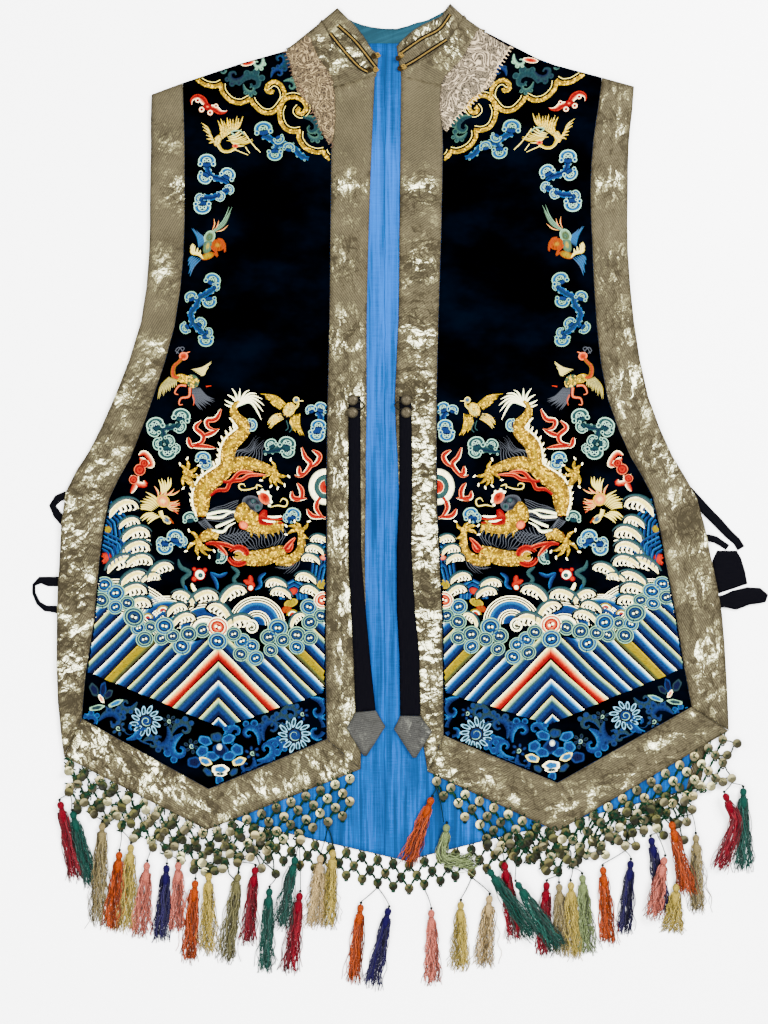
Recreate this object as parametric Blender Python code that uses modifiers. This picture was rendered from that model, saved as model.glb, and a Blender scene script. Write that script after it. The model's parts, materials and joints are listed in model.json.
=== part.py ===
"""An embroidered ceremonial vest laid flat: two fronts lie open over the lined back.

The sizes in the tables are millimetres on the laid-out vest: x is measured from the centre line,
down is measured from the collar tip towards the hem, and lift is the height above the table.
"""
import math

import bmesh
import bpy
from mathutils import Vector

MM = 0.001
UP = Vector((0, 0, 1))

# Driving sizes, in millimetres
LENGTH = 1101.0
WALL = 1.2
SEAM_GAP = 0.3
BACK_LEVEL = 0.0
LINING_LEVEL = BACK_LEVEL + WALL + SEAM_GAP
FRONT_LEVEL = LINING_LEVEL + WALL + SEAM_GAP
TRIM_LEVEL = FRONT_LEVEL + WALL + 2 * SEAM_GAP
TRIM_WALL = 1.0
BACK_MARGIN = 5.0
BACK_DROP = 3.0
LINING_MARGIN = 15.0
LINING_INSET = 1.0
MITRE_LIMIT = 0.4
ROW_SPLITS = 2
BOTTOM_ROW = 12
BAND_FIRST_ROW = 2

# Panel of each front, a row from the shoulder to the hem: inner seam, middle, armhole seam, outer edge
PANELS = {
    "left": (
        ((-128, 53), (-177, 67), (-243, 89), (-278, 102)),
        ((-100, 75), (-172, 102), (-242, 121), (-279, 130)),
        ((-77, 94), (-160, 136), (-241, 159), (-279, 166)),
        ((-77, 166), (-159, 192), (-241, 214), (-280, 220)),
        ((-78, 262), (-160, 271), (-242, 280), (-281, 282)),
        ((-79, 354), (-166, 357), (-252, 361), (-290, 357)),
        ((-81, 444), (-178, 444), (-276, 441), (-318, 438)),
        ((-82, 511), (-190, 513), (-301, 508), (-347, 500)),
        ((-82, 556), (-203, 558), (-325, 554), (-374, 547)),
        ((-82, 623), (-209, 629), (-336, 623), (-381, 623)),
        ((-83, 690), (-213, 710), (-342, 690), (-384, 692)),
        ((-83, 757), (-214, 795), (-351, 748), (-383, 780)),
        ((-82, 823), (-214, 879), (-356, 800), (-376, 843)),
    ),
    "right": (
        ((96, 32), (162, 66), (226, 83), (262, 93)),
        ((74, 62), (150, 96), (222, 114), (260, 121)),
        ((49, 92), (137, 132), (216, 155), (256, 159)),
        ((48, 161), (130, 193), (213, 208), (255, 215)),
        ((46, 260), (131, 271), (215, 273), (255, 276)),
        ((43, 354), (132, 358), (220, 361), (262, 357)),
        ((41, 444), (137, 444), (232, 441), (278, 441)),
        ((41, 505), (149, 508), (258, 508), (305, 507)),
        ((41, 556), (162, 559), (283, 553), (332, 553)),
        ((44, 623), (169, 629), (297, 625), (348, 620)),
        ((47, 690), (172, 708), (308, 681), (360, 682)),
        ((48, 757), (175, 793), (318, 744), (365, 748)),
        ((49, 819), (176, 872), (326, 787), (368, 814)),
    ),
}

# Centre-front edge of each front, a row from the collar to the hem, beside panel rows 2 to 12
FRONT_EDGES = {
    "left": ((-28, 79), (-32, 176), (-35, 264), (-37, 354), (-37, 444), (-38, 511), (-38, 556),
             (-39, 623), (-38, 690), (-41, 757), (-44, 857)),
    "right": ((1, 80), (0, 176), (-1, 264), (-2, 354), (-6, 444), (-3, 505), (-1, 556),
              (2, 623), (8, 690), (16, 768), (31, 860)),
}

# Outer edge of each hem band at the front corner, the point of the V and the side corner
HEM_EDGES = {
    "left": ((-44, 857), (-216, 925), (-376, 843)),
    "right": ((31, 860), (176, 927), (368, 814)),
}

# Back: upper edge from shoulder to shoulder, seam of the hem band, and hem, on the same columns
BACK_TOP = ((-243, 92), (-128, 57), (-72, 44), (-4, 44), (54, 44), (96, 40), (226, 87))
BACK_SEAM = ((-350, 802), (-170, 871), (-80, 892), (6, 912), (90, 893), (218, 861), (318, 832))
BACK_HEM = ((-370, 842), (-174, 918), (-84, 939), (6, 960), (101, 936), (224, 907), (336, 878))

# Strips, a row for each station: one edge, the other edge
STRIPS = {
    "collar_left": (((-70, 5), (-88, 20)), ((-60, 15), (-79, 37)), ((-52, 23), (-72, 51)),
                    ((-40, 38), (-54, 67)), ((-31, 52), (-38, 78)), ((-24, 56), (-25, 75))),
    "collar_right": (((56, 0), (72, 15)), ((49, 10), (62, 32)), ((45, 15), (52, 44)),
                     ((25, 24), (36, 58)), ((10, 34), (18, 68)), ((-4, 48), (0, 76))),
    "neck_piece_left": (((-27, 77), (-28, 79.2)), ((-38, 79.4), (-39, 82.2)), ((-54, 68.4), (-55, 87)),
                        ((-72, 52), (-74, 91)), ((-79.5, 38), (-96, 72)), ((-88.5, 20.5), (-125, 50))),
    "neck_piece_right": (((3, 76.5), (3, 80.3)), ((18, 68.5), (20, 84.6)), ((36, 58.5), (35, 88.4)),
                         ((52, 45), (46.5, 89.5)), ((62.5, 33), (70.5, 59.5)), ((72.5, 15.5), (93, 30))),
    "collar_back": (((-66, 12), (-72, 41)), ((-52, 20), (-56, 43)), ((-32, 26), (-34, 43.5)),
                    ((-4, 28), (-4, 43.5)), ((19, 21), (19, 43.5)), ((31, 18), (38, 43)), ((52, 7), (52, 41))),
    "lace_left": (((-106, 38), (-128, 54)), ((-96, 62), (-121, 78)), ((-86, 76), (-115, 100)),
                  ((-79, 90), (-98, 118)), ((-77, 112), (-92, 138)), ((-77, 132), (-80, 156))),
    "lace_right": (((91, 31), (124, 50)), ((80, 52), (110, 72)), ((69, 69), (104, 92)),
                   ((54, 84), (84, 104)), ((50, 98), (68, 122)), ((49, 120), (53, 142))),
    "strap_left": (((-58, 440), (-44, 440)), ((-58, 520), (-44, 520)), ((-58, 620), (-43, 620)),
                   ((-55, 680), (-38, 680)), ((-52, 735), (-33, 735)), ((-50, 793), (-27, 791))),
    "strap_right": (((-1, 440), (13, 440)), ((-1, 544), (14, 544)), ((-4, 611), (13, 611)),
                    ((-4, 679), (17, 679)), ((-1, 729), (22, 729)), ((0, 797), (23, 797))),
    "strap_tip_left": (((-50, 793), (-27, 791)), ((-60, 811), (-16, 809)), ((-41, 842), (-37, 842))),
    "strap_tip_right": (((0, 797), (23, 797)), ((-7, 812), (36, 815)), ((14, 844), (18, 844))),
}

# Soft folds of the fronts: x, down, heading in degrees, half length, half width, height
FOLDS = (
    (-262, 330, 15, 60, 26, 2.6),
    (-300, 465, 22, 75, 26, 3.4),
    (-352, 575, 28, 60, 24, 3.6),
    (-350, 660, 12, 60, 24, 3.0),
    (-362, 745, -12, 55, 24, 2.6),
    (-290, 868, 30, 60, 24, 3.2),
    (-170, 330, 78, 130, 40, 2.2),
    (-215, 600, 84, 110, 45, 2.0),
    (240, 325, -14, 60, 26, 2.8),
    (292, 470, -24, 75, 26, 3.2),
    (338, 590, -30, 60, 24, 3.6),
    (350, 680, -14, 60, 24, 2.8),
    (342, 770, 16, 55, 24, 2.6),
    (255, 862, -30, 60, 24, 3.2),
    (140, 350, -80, 130, 40, 2.2),
    (190, 610, -84, 110, 45, 2.0),
)

# Ribbon ties, a row for each point of the middle line: x, down, lift, width
RIBBONS = {
    "ribbon_left_upper": ((-366, 549, 1.6, 9), (-376, 551, 1.6, 9), (-383, 554, 0.4, 9),
                          (-389, 562, 0.1, 8), (-384, 572, 0.4, 9), (-377, 580, 1.6, 9),
                          (-370, 588, 1.6, 9)),
    "ribbon_left_lower": ((-373, 647, 1.6, 11), (-384, 647, 1.6, 11), (-394, 647, 0.2, 11),
                          (-403, 645.5, 0.1, 8), (-410, 651, 0.1, 4), (-410, 660, 0.1, 4),
                          (-405, 671, 0.1, 5), (-397, 677, 0.2, 7), (-386, 678, 1.6, 8),
                          (-376, 681, 1.6, 9)),
    "ribbon_right_upper": ((322, 545, 1.6, 11), (334, 558, 1.6, 11), (345, 570, 0.3, 11),
                           (356, 581, 0.1, 11), (367, 593, 0.1, 10), (377, 602, 0.1, 9),
                           (382, 610, 0.1, 9)),
    "ribbon_right_middle": ((335, 598, 1.6, 8), (345, 598, 1.6, 8), (353, 600, 0.3, 8),
                            (361, 605, 0.1, 7), (367, 609, 0.1, 7)),
    "ribbon_right_wide": ((366, 612.4, 0.1, 22), (366, 622, 0.1, 32), (368, 640, 0.1, 38),
                          (373, 655, 0.1, 34)),
    "ribbon_right_tail": ((352, 670, 1.9, 13), (362, 669, 1.9, 14), (374, 668, 1.7, 22),
                          (390, 663, 1.6, 20), (402, 663, 1.6, 18), (410.7, 666, 1.6, 9)),
}

# Knotted nets: hem that carries it, first and last x, underside level near and far, clearance of
# the tassel heads, first and last disc of each row in half pitches
NETS = {
    "net_left": {"hem": HEM_EDGES["left"], "first_x": -369, "last_x": -56, "columns": 19,
                 "near": FRONT_LEVEL + SEAM_GAP, "far": 1.8, "heads": 2.0,
                 "starts": (0, 1, 0, 1), "ends": (38, 37, 38, 37)},
    "net_right": {"hem": HEM_EDGES["right"], "first_x": 41, "last_x": 361, "columns": 20,
                  "near": FRONT_LEVEL + SEAM_GAP, "far": 1.8, "heads": 2.0,
                  "starts": (0, 1, 4, 7), "ends": (40, 39, 40, 39)},
    "net_back": {"hem": BACK_HEM, "first_x": -165, "last_x": 325, "columns": 28,
                 "near": 0.0, "far": 0.0, "heads": 0.4,
                 "starts": (0, 1, 2), "ends": (56, 55, 54)},
}
DISC_RADIUS = 5.3
DISC_SIDES = 6
NET_WALL = 1.4
NET_ROW_PITCH = 12.8
NET_SEAT = 0.5
NET_SLACK = 0.45
NET_SLACK_STEP = 1.7
NET_SLACK_ROW = 2.1
NET_SLOPE_START = 10.0
NET_SLOPE_END = 26.0

# Tassels, a row for each: node, net, head x, head down, tip x, tip down, resting height, bend
TASSELS = (
    ("tassels_01", "net_left", -380, 895, -362, 978, 0, None),
    ("tassels_01", "net_left", -366, 906, -346, 986, 0, None),
    ("tassel_02", "net_left", -333, 919, -338, 1030, 0, None),
    ("tassels_03", "net_left", -314, 951, -322, 1036, 0, None),
    ("tassels_03", "net_left", -301, 943, -307, 1038, 0, None),
    ("tassel_04", "net_left", -283, 963, -291, 1043, 0, None),
    ("tassels_05", "net_left", -261, 966, -268, 1048, 0, None),
    ("tassels_05", "net_left", -248, 963, -250, 1037, 0, None),
    ("tassels_06", "net_left", -229, 983, -236, 1072, 0, None),
    ("tassels_06", "net_left", -214, 975, -214, 1062, 0, None),
    ("tassels_07", "net_left", -181, 976, -196, 1070, 0, None),
    ("tassels_07", "net_left", -162, 968, -170, 1051, 0, None),
    ("tassel_08", "net_left", -146, 992, -151, 1081, 0, None),
    ("tassels_09", "net_left", -117, 956, -134, 1034, 5, None),
    ("tassels_09", "net_left", -112, 997, -124, 1084, 0, None),
    ("tassels_10", "net_left", -89, 955, -99, 1033, 0, None),
    ("tassels_10", "net_left", -75, 949, -80, 1033, 0, None),
    ("tassels_11", "net_back", -44, 1010, -53, 1094, 0, None),
    ("tassels_11", "net_back", -13, 1014, -32, 1100, 0, None),
    ("tassel_12", "net_back", 35, 1016, 36, 1096, 0, None),
    ("tassels_13", "net_right", 35, 890, 8, 962, 3.0, None),
    ("tassels_13", "net_right", 52, 920, 84, 961, 3.0, (49, 956)),
    ("tassels_14", "net_back", 68, 1007, 66, 1082, 0, None),
    ("tassels_14", "net_back", 100, 1000, 94, 1077, 0, None),
    ("tassels_15", "net_right", 117, 963, 129, 1047, 0, None),
    ("tassels_15", "net_right", 100, 970, 150, 1045, 6, None),
    ("tassel_16", "net_right", 131, 984, 178, 1057, 6, None),
    ("tassels_17", "net_right", 164, 985, 160, 1064, 0, None),
    ("tassels_17", "net_right", 178, 987, 181, 1064, 0, None),
    ("tassels_18", "net_right", 191, 985, 195, 1068, 0, None),
    ("tassels_18", "net_right", 204, 977, 211, 1062, 0, None),
    ("tassels_19", "net_right", 227, 968, 235, 1052, 0, None),
    ("tassels_19", "net_right", 258, 961, 251, 1040, 0, None),
    ("tassels_20", "net_right", 281, 935, 296, 1016, 0, None),
    ("tassels_20", "net_right", 295, 956, 281, 1023, 8, None),
    ("tassels_21", "net_right", 303, 917, 323, 995, 5, None),
    ("tassels_21", "net_right", 331, 932, 334, 1016, 0, None),
    ("tassel_22", "net_back", 309, 987, 304, 1040, 0, None),
    ("tassels_23", "net_right", 363, 885, 357, 967, 7, (375, 918)),
    ("tassels_23", "net_right", 384, 880, 386, 969, 0, None),
)
CORD_RADIUS = 0.8
HEAD_PROFILE = ((0.0, 0.9), (3.0, 3.5), (8.0, 2.7), (11.0, 3.9))
HEAD_RADIUS = 3.9
CAP_TRIANGLES = 4
CORD_LIFT = 0.9
KNOT_DROP = 0.6
LOOP_DROP = 1.3
HANG_CLEARANCE = 9.3
SIDEWAYS_WEIGHT = 2.0
STRAND_INSET = 0.35
STRAND_SPREAD = 5.5
STRAND_MIDDLE = 2.1
STRAND_RISE = 1.7
TIP_SCALE = 0.36
BEND_SCALE = 0.5
BEND_SPREAD = 4.0

# Buttons: x of the pair, down of the first and the second, and x of the loop's far end
BUTTON_PAIRS = {
    "button_pair_left": (-52.5, 444, 458, -40),
    "button_pair_right": (6.5, 444, 458, -6),
}
BUTTON_RADIUS = 6.1
BUTTON_HEIGHT = 4.6
BUTTON_SEGMENTS = 10
BUTTON_RINGS = 4
LOOP_RADIUS = 0.9
LOOP_LIFT = 1.2
LOOP_HALF_WIDTH = 2.5

# Collar frogs: the middle line of the cord from the knot at the front, up the collar and back
FROGS = {
    "frog_left": ((-22, 58), (-26, 62), (-34, 57), (-45, 43), (-57, 30), (-66, 22), (-72, 26),
                  (-72, 36), (-64, 52), (-50, 65), (-38, 73), (-27, 70)),
    "frog_right": ((-6, 56), (1, 58), (8, 50), (22, 39), (37, 31), (49, 21), (56, 24),
                   (54, 34), (44, 45), (30, 57), (14, 66), (2, 70)),
}
FROG_RADIUS = 1.3
FROG_LEVEL = FRONT_LEVEL + WALL + SEAM_GAP + 0.1

# Finish of each kind of piece: colour, roughness, metallic
FINISHES = {
    "satin": ((0.008, 0.008, 0.02), 0.45, 0.0),
    "brocade": ((0.36, 0.33, 0.25), 0.4, 0.6),
    "lining": ((0.06, 0.26, 0.52), 0.8, 0.0),
    "collar_lining": ((0.07, 0.24, 0.33), 0.8, 0.0),
    "lace": ((0.6, 0.52, 0.42), 0.6, 0.2),
    "ribbon": ((0.005, 0.005, 0.01), 0.5, 0.0),
    "net": ((0.2, 0.2, 0.12), 0.4, 0.6),
    "button": ((0.4, 0.37, 0.3), 0.4, 0.8),
    "frog": ((0.3, 0.27, 0.2), 0.5, 0.5),
    "silk": ((0.5, 0.2, 0.08), 0.6, 0.0),
}


def clear_scene():
    for item in list(bpy.data.objects):
        bpy.data.objects.remove(item, do_unlink=True)


def make_collection(name):
    collection = bpy.data.collections.new(name)
    bpy.context.scene.collection.children.link(collection)
    return collection


def make_material(name):
    colour, roughness, metallic = FINISHES[name]
    material = bpy.data.materials.new(name)
    material.use_nodes = True
    shader = material.node_tree.nodes["Principled BSDF"]
    shader.inputs["Base Color"].default_value = (*colour, 1.0)
    shader.inputs["Roughness"].default_value = roughness
    shader.inputs["Metallic"].default_value = metallic
    return material


def world(x, down, lift):
    """Turn the tables' millimetres into a place in metres, with the origin under the vest's middle."""
    return Vector((x * MM, (LENGTH / 2 - down) * MM, lift * MM))


def between(start, end, share):
    return tuple(a + (b - a) * share for a, b in zip(start, end))


def curve_through(points, splits):
    """Points of a smooth curve through the given ones, each interval cut into the same number."""
    result = []
    last = len(points) - 1
    for index in range(last):
        before = points[max(index - 1, 0)]
        start = points[index]
        end = points[index + 1]
        after = points[min(index + 2, last)]
        for step in range(splits):
            t = step / splits
            result.append(tuple(
                0.5 * (2 * p1 + (p2 - p0) * t + (2 * p0 - 5 * p1 + 4 * p2 - p3) * t * t
                       + (3 * p1 - p0 - 3 * p2 + p3) * t ** 3)
                for p0, p1, p2, p3 in zip(before, start, end, after)))
    result.append(tuple(points[last]))
    return result


def fill_across(columns, splits):
    """Rows from edge to edge: straight lines between neighbouring columns, each cut in equal steps."""
    rows = []
    for row_points in zip(*columns):
        row = [row_points[0]]
        for start, end in zip(row_points, row_points[1:]):
            row.extend(between(start, end, (step + 1) / splits) for step in range(splits))
        rows.append(row)
    return rows


def fold_height(x, down):
    """Height of the soft folds at a place on the fronts."""
    height = 0.0
    for fold_x, fold_down, heading, half_length, half_width, rise in FOLDS:
        angle = math.radians(heading)
        along = (x - fold_x) * math.cos(angle) + (down - fold_down) * math.sin(angle)
        across = (down - fold_down) * math.cos(angle) - (x - fold_x) * math.sin(angle)
        height += rise * math.exp(-(across / half_width) ** 2 - (along / half_length) ** 2)
    return height


def set_back(rows, distance):
    """Move the rim of a piece inwards by the same distance all round, in its own plane."""
    height = len(rows)
    width = len(rows[0])
    loop = [(0, c) for c in range(width)] + [(r, width - 1) for r in range(1, height)]
    loop += [(height - 1, c) for c in range(width - 2, -1, -1)] + [(r, 0) for r in range(height - 2, 0, -1)]
    points = [Vector(rows[r][c]) for r, c in loop]
    count = len(points)
    area = sum(points[i].cross(points[(i + 1) % count]) for i in range(count))
    side = 1.0 if area > 0 else -1.0
    result = [list(row) for row in rows]
    for i, (r, c) in enumerate(loop):
        before = (points[i] - points[i - 1]).normalized()
        after = (points[(i + 1) % count] - points[i]).normalized()
        inward = Vector((-before.y - after.y, before.x + after.x)) * side
        scale = max(inward.length_squared / 2, MITRE_LIMIT)
        moved = points[i] + inward * (distance / scale)
        result[r][c] = (moved.x, moved.y)
    return result


def lay(rows, level, folded=True):
    """Give each point its height: the level of the layer, and the folds where the piece has them."""
    return [[(x, down, level + (fold_height(x, down) if folded else 0.0)) for x, down in row] for row in rows]


def finish_object(piece, name, finish):
    piece.name = name
    piece.data.name = name
    piece.data.materials.clear()
    piece.data.materials.append(materials[finish])
    for owner in list(piece.users_collection):
        owner.objects.unlink(piece)
    vest.objects.link(piece)
    return piece


def cloth(name, rows, finish, wall=WALL):
    """One sewn piece: a grid moved to the rows of points, with its thickness above them."""
    down_cells = len(rows) - 1
    across_cells = len(rows[0]) - 1
    bpy.ops.mesh.primitive_grid_add(x_subdivisions=across_cells, y_subdivisions=down_cells, size=1)
    piece = bpy.context.object
    for vertex in piece.data.vertices:
        column = round((vertex.co.x + 0.5) * across_cells)
        row = round((0.5 - vertex.co.y) * down_cells)
        vertex.co = world(*rows[row][column])
    if piece.data.polygons[0].normal.z < 0:
        piece.data.flip_normals()
    thickness = piece.modifiers.new("wall", "SOLIDIFY")
    thickness.thickness = wall * MM
    thickness.offset = 1
    return finish_object(piece, name, finish)


def panel_column(side, column, first_row=0):
    """A smooth seam or edge line of one front, from the table of its rows."""
    return curve_through([row[column] for row in PANELS[side]], ROW_SPLITS)[first_row * ROW_SPLITS:]


def make_front(side):
    """One front: satin panel, brocade bands down the opening and the armhole, and the hem band."""
    inner = panel_column(side, 0)
    middle = panel_column(side, 1)
    arm = panel_column(side, 2)
    edge = panel_column(side, 3)
    opening = curve_through(FRONT_EDGES[side], ROW_SPLITS)
    corner_front, point, corner_side = HEM_EDGES[side]
    pieces = {
        "front_" + side: (fill_across((inner, middle, arm), 3), "satin"),
        "front_band_" + side: (fill_across((opening, inner[BAND_FIRST_ROW * ROW_SPLITS:]), 2), "brocade"),
        "armhole_band_" + side: (fill_across((arm, edge), 2), "brocade"),
    }
    seam = (inner[-1], middle[-1], arm[-1])
    outer = (corner_front, point, corner_side)
    hem_columns = [[between(a, b, share) for share in (0.0, 0.5, 1.0)] for a, b in zip(seam, outer)]
    pieces["hem_band_" + side] = (fill_across(hem_columns, 3), "brocade")
    for name, (rows, finish) in pieces.items():
        cloth(name, lay(set_back(rows, SEAM_GAP / 2), FRONT_LEVEL), finish)


def under_line(side, column, margin, hem_point):
    """A line of the back under one front's line, moved in by a margin and on to its own hem point."""
    inwards = margin if side == "left" else -margin
    line = [(row[column][0] + inwards, row[column][1] + BACK_DROP) for row in PANELS[side][:BOTTOM_ROW]]
    return line + [hem_point]


def straight_columns(top, bottom, count):
    return [[between(a, b, step / count) for step in range(count + 1)] for a, b in zip(top, bottom)]


def make_back():
    """The back: satin panel, brocade bands at the sides and the hem, and the blue lining over them."""
    left_arm = under_line("left", 2, BACK_MARGIN, BACK_SEAM[0])
    right_arm = under_line("right", 2, BACK_MARGIN, BACK_SEAM[-1])
    left_edge = under_line("left", 3, BACK_MARGIN, BACK_HEM[0])
    right_edge = under_line("right", 3, BACK_MARGIN, BACK_HEM[-1])
    inside = straight_columns(BACK_TOP[1:-1], BACK_SEAM[1:-1], BOTTOM_ROW)
    pieces = {
        "back_panel": (fill_across([left_arm] + inside + [right_arm], 1), "satin"),
        "back_armhole_band_left": (fill_across((left_edge, left_arm), 1), "brocade"),
        "back_armhole_band_right": (fill_across((right_arm, right_edge), 1), "brocade"),
        "back_hem_band": (fill_across(straight_columns(BACK_SEAM, BACK_HEM, 1), 1), "brocade"),
    }
    for name, (rows, finish) in pieces.items():
        cloth(name, lay(set_back(rows, SEAM_GAP / 2), BACK_LEVEL, folded=False), finish)
    left_corner = (BACK_HEM[0][0] + LINING_MARGIN, BACK_HEM[0][1] + BACK_DROP)
    right_corner = (BACK_HEM[-1][0] - LINING_MARGIN, BACK_HEM[-1][1] + BACK_DROP)
    left_lining = under_line("left", 3, LINING_MARGIN, left_corner)
    right_lining = under_line("right", 3, LINING_MARGIN, right_corner)
    inside = straight_columns(BACK_TOP[1:-1], BACK_HEM[1:-1], BOTTOM_ROW)
    rows = fill_across([left_lining] + inside + [right_lining], 1)
    cloth("back_lining", lay(set_back(rows, LINING_INSET), LINING_LEVEL, folded=False), "lining")


def make_strips():
    """Collar, neck pieces, lace, straps and strap tips, each between two edges."""
    kinds = {
        "collar_left": (FRONT_LEVEL, WALL, "brocade"),
        "collar_right": (FRONT_LEVEL, WALL, "brocade"),
        "neck_piece_left": (FRONT_LEVEL, WALL, "brocade"),
        "neck_piece_right": (FRONT_LEVEL, WALL, "brocade"),
        "collar_back": (BACK_LEVEL, LINING_LEVEL + WALL, "collar_lining"),
        "lace_left": (TRIM_LEVEL, TRIM_WALL, "lace"),
        "lace_right": (TRIM_LEVEL, TRIM_WALL, "lace"),
        "strap_left": (TRIM_LEVEL, TRIM_WALL, "ribbon"),
        "strap_right": (TRIM_LEVEL, TRIM_WALL, "ribbon"),
        "strap_tip_left": (TRIM_LEVEL, TRIM_WALL, "brocade"),
        "strap_tip_right": (TRIM_LEVEL, TRIM_WALL, "brocade"),
    }
    for name, (level, wall, finish) in kinds.items():
        first = [station[0] for station in STRIPS[name]]
        second = [station[1] for station in STRIPS[name]]
        splits = 1 if name.startswith(("neck_piece", "strap")) else 2
        columns = (curve_through(first, splits), curve_through(second, splits))
        rows = set_back(fill_across(columns, 2 if name.startswith("lace") else 1), SEAM_GAP / 2)
        cloth(name, lay(rows, level, folded=level > LINING_LEVEL), finish, wall)


def make_ribbons():
    """Ribbon ties: a strip across each point of the middle line, wide on both sides of it."""
    for name, points in RIBBONS.items():
        rows = []
        for index, (x, down, lift, width) in enumerate(points):
            before = points[max(index - 1, 0)]
            after = points[min(index + 1, len(points) - 1)]
            heading = Vector((after[0] - before[0], after[1] - before[1])).normalized()
            side = Vector((-heading.y, heading.x)) * (width / 2)
            rows.append([(x + side.x, down + side.y, lift), (x - side.x, down - side.y, lift)])
        cloth(name, rows, "ribbon", TRIM_WALL)


def down_at(points, x):
    """How far down a hem lies at x, on straight runs between its corners."""
    ordered = sorted(points)
    for start, end in zip(ordered, ordered[1:]):
        if x <= end[0]:
            break
    return start[1] + (end[1] - start[1]) * (x - start[0]) / (end[0] - start[0])


def net_discs(name):
    """The centre of every disc of one net, by row and half pitch."""
    net = NETS[name]
    half_pitch = (net["last_x"] - net["first_x"]) / net["columns"] / 2
    discs = {}
    for row, (start, end) in enumerate(zip(net["starts"], net["ends"])):
        for step in range(start, end + 1, 2):
            x = net["first_x"] + step * half_pitch
            slack = NET_SLACK * math.sin(step * NET_SLACK_STEP + row * NET_SLACK_ROW) if row else 0.0
            down = down_at(net["hem"], x) + DISC_RADIUS + NET_SEAT + row * NET_ROW_PITCH + slack
            discs[(row, step)] = (x + slack, down)
    return discs


def net_level(name, x, down):
    """Height of a net's underside: on the lining by the hem, lower where it hangs past the back."""
    net = NETS[name]
    past = down - max(down_at(net["hem"], x), down_at(BACK_HEM, x))
    share = min(max((past - NET_SLOPE_START) / (NET_SLOPE_END - NET_SLOPE_START), 0.0), 1.0)
    return net["near"] + (net["far"] - net["near"]) * share


def make_net(name):
    """A knotted net: six-sided discs in staggered rows, joined corner to corner by flat cords."""
    discs = net_discs(name)
    mesh = bmesh.new()
    corners = {}
    for key, (x, down) in discs.items():
        ring = []
        for corner in range(DISC_SIDES):
            angle = math.radians(90 + 360 / DISC_SIDES * corner)
            corner_x = x + DISC_RADIUS * math.cos(angle)
            corner_down = down - DISC_RADIUS * math.sin(angle)
            lift = net_level(name, corner_x, corner_down)
            ring.append(mesh.verts.new(world(corner_x, corner_down, lift)))
        mesh.faces.new(ring)
        corners[key] = ring
    for (row, step), ring in corners.items():
        lower_left = corners.get((row + 1, step - 1))
        lower_right = corners.get((row + 1, step + 1))
        if lower_left:
            mesh.faces.new((ring[3], ring[2], lower_left[0], lower_left[5]))
        if lower_right:
            mesh.faces.new((ring[4], ring[3], lower_right[1], lower_right[0]))
    data = bpy.data.meshes.new(name)
    mesh.to_mesh(data)
    mesh.free()
    piece = bpy.data.objects.new(name, data)
    bpy.context.scene.collection.objects.link(piece)
    thickness = piece.modifiers.new("wall", "SOLIDIFY")
    thickness.thickness = NET_WALL * MM
    thickness.offset = 1
    finish_object(piece, name, "net")


def tube_mesh(name, points, depth, sides_level):
    """A closed tube along points of x, down, lift and share of the radius, as a mesh object."""
    curve = bpy.data.curves.new(name, "CURVE")
    curve.dimensions = "3D"
    curve.bevel_depth = depth * MM
    curve.bevel_resolution = sides_level
    curve.use_fill_caps = True
    spline = curve.splines.new("POLY")
    spline.points.add(len(points) - 1)
    for target, (x, down, lift, share) in zip(spline.points, points):
        target.co = (*world(x, down, lift), 1.0)
        target.radius = share
    cord = bpy.data.objects.new(name, curve)
    bpy.context.scene.collection.objects.link(cord)
    bpy.context.view_layer.update()
    evaluated = cord.evaluated_get(bpy.context.evaluated_depsgraph_get())
    data = bpy.data.meshes.new_from_object(evaluated)
    bpy.data.objects.remove(cord, do_unlink=True)
    shape = bmesh.new()
    shape.from_mesh(data)
    bmesh.ops.remove_doubles(shape, verts=shape.verts, dist=0.00002)
    bmesh.ops.recalc_face_normals(shape, faces=shape.faces)
    return shape, data


def mesh_object(name, shape, data, finish):
    shape.to_mesh(data)
    shape.free()
    piece = bpy.data.objects.new(name, data)
    bpy.context.scene.collection.objects.link(piece)
    return finish_object(piece, name, finish)


def head_path(row):
    """Points of one tassel's head, from its cord to its flat end, with the radius at each."""
    _, net, head_x, head_down, tip_x, tip_down, rest, bend = row
    aim = Vector(bend or (tip_x, tip_down)) - Vector((head_x, head_down))
    aim.normalize()
    lift = rest + NETS[net]["heads"] + HEAD_RADIUS
    return [(head_x + aim.x * along, head_down + aim.y * along, lift, radius / CORD_RADIUS)
            for along, radius in HEAD_PROFILE]


def flat_heading(start, end):
    """Direction from one place to another, level with the table."""
    return Vector((end.x - start.x, end.y - start.y, 0)).normalized()


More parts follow.
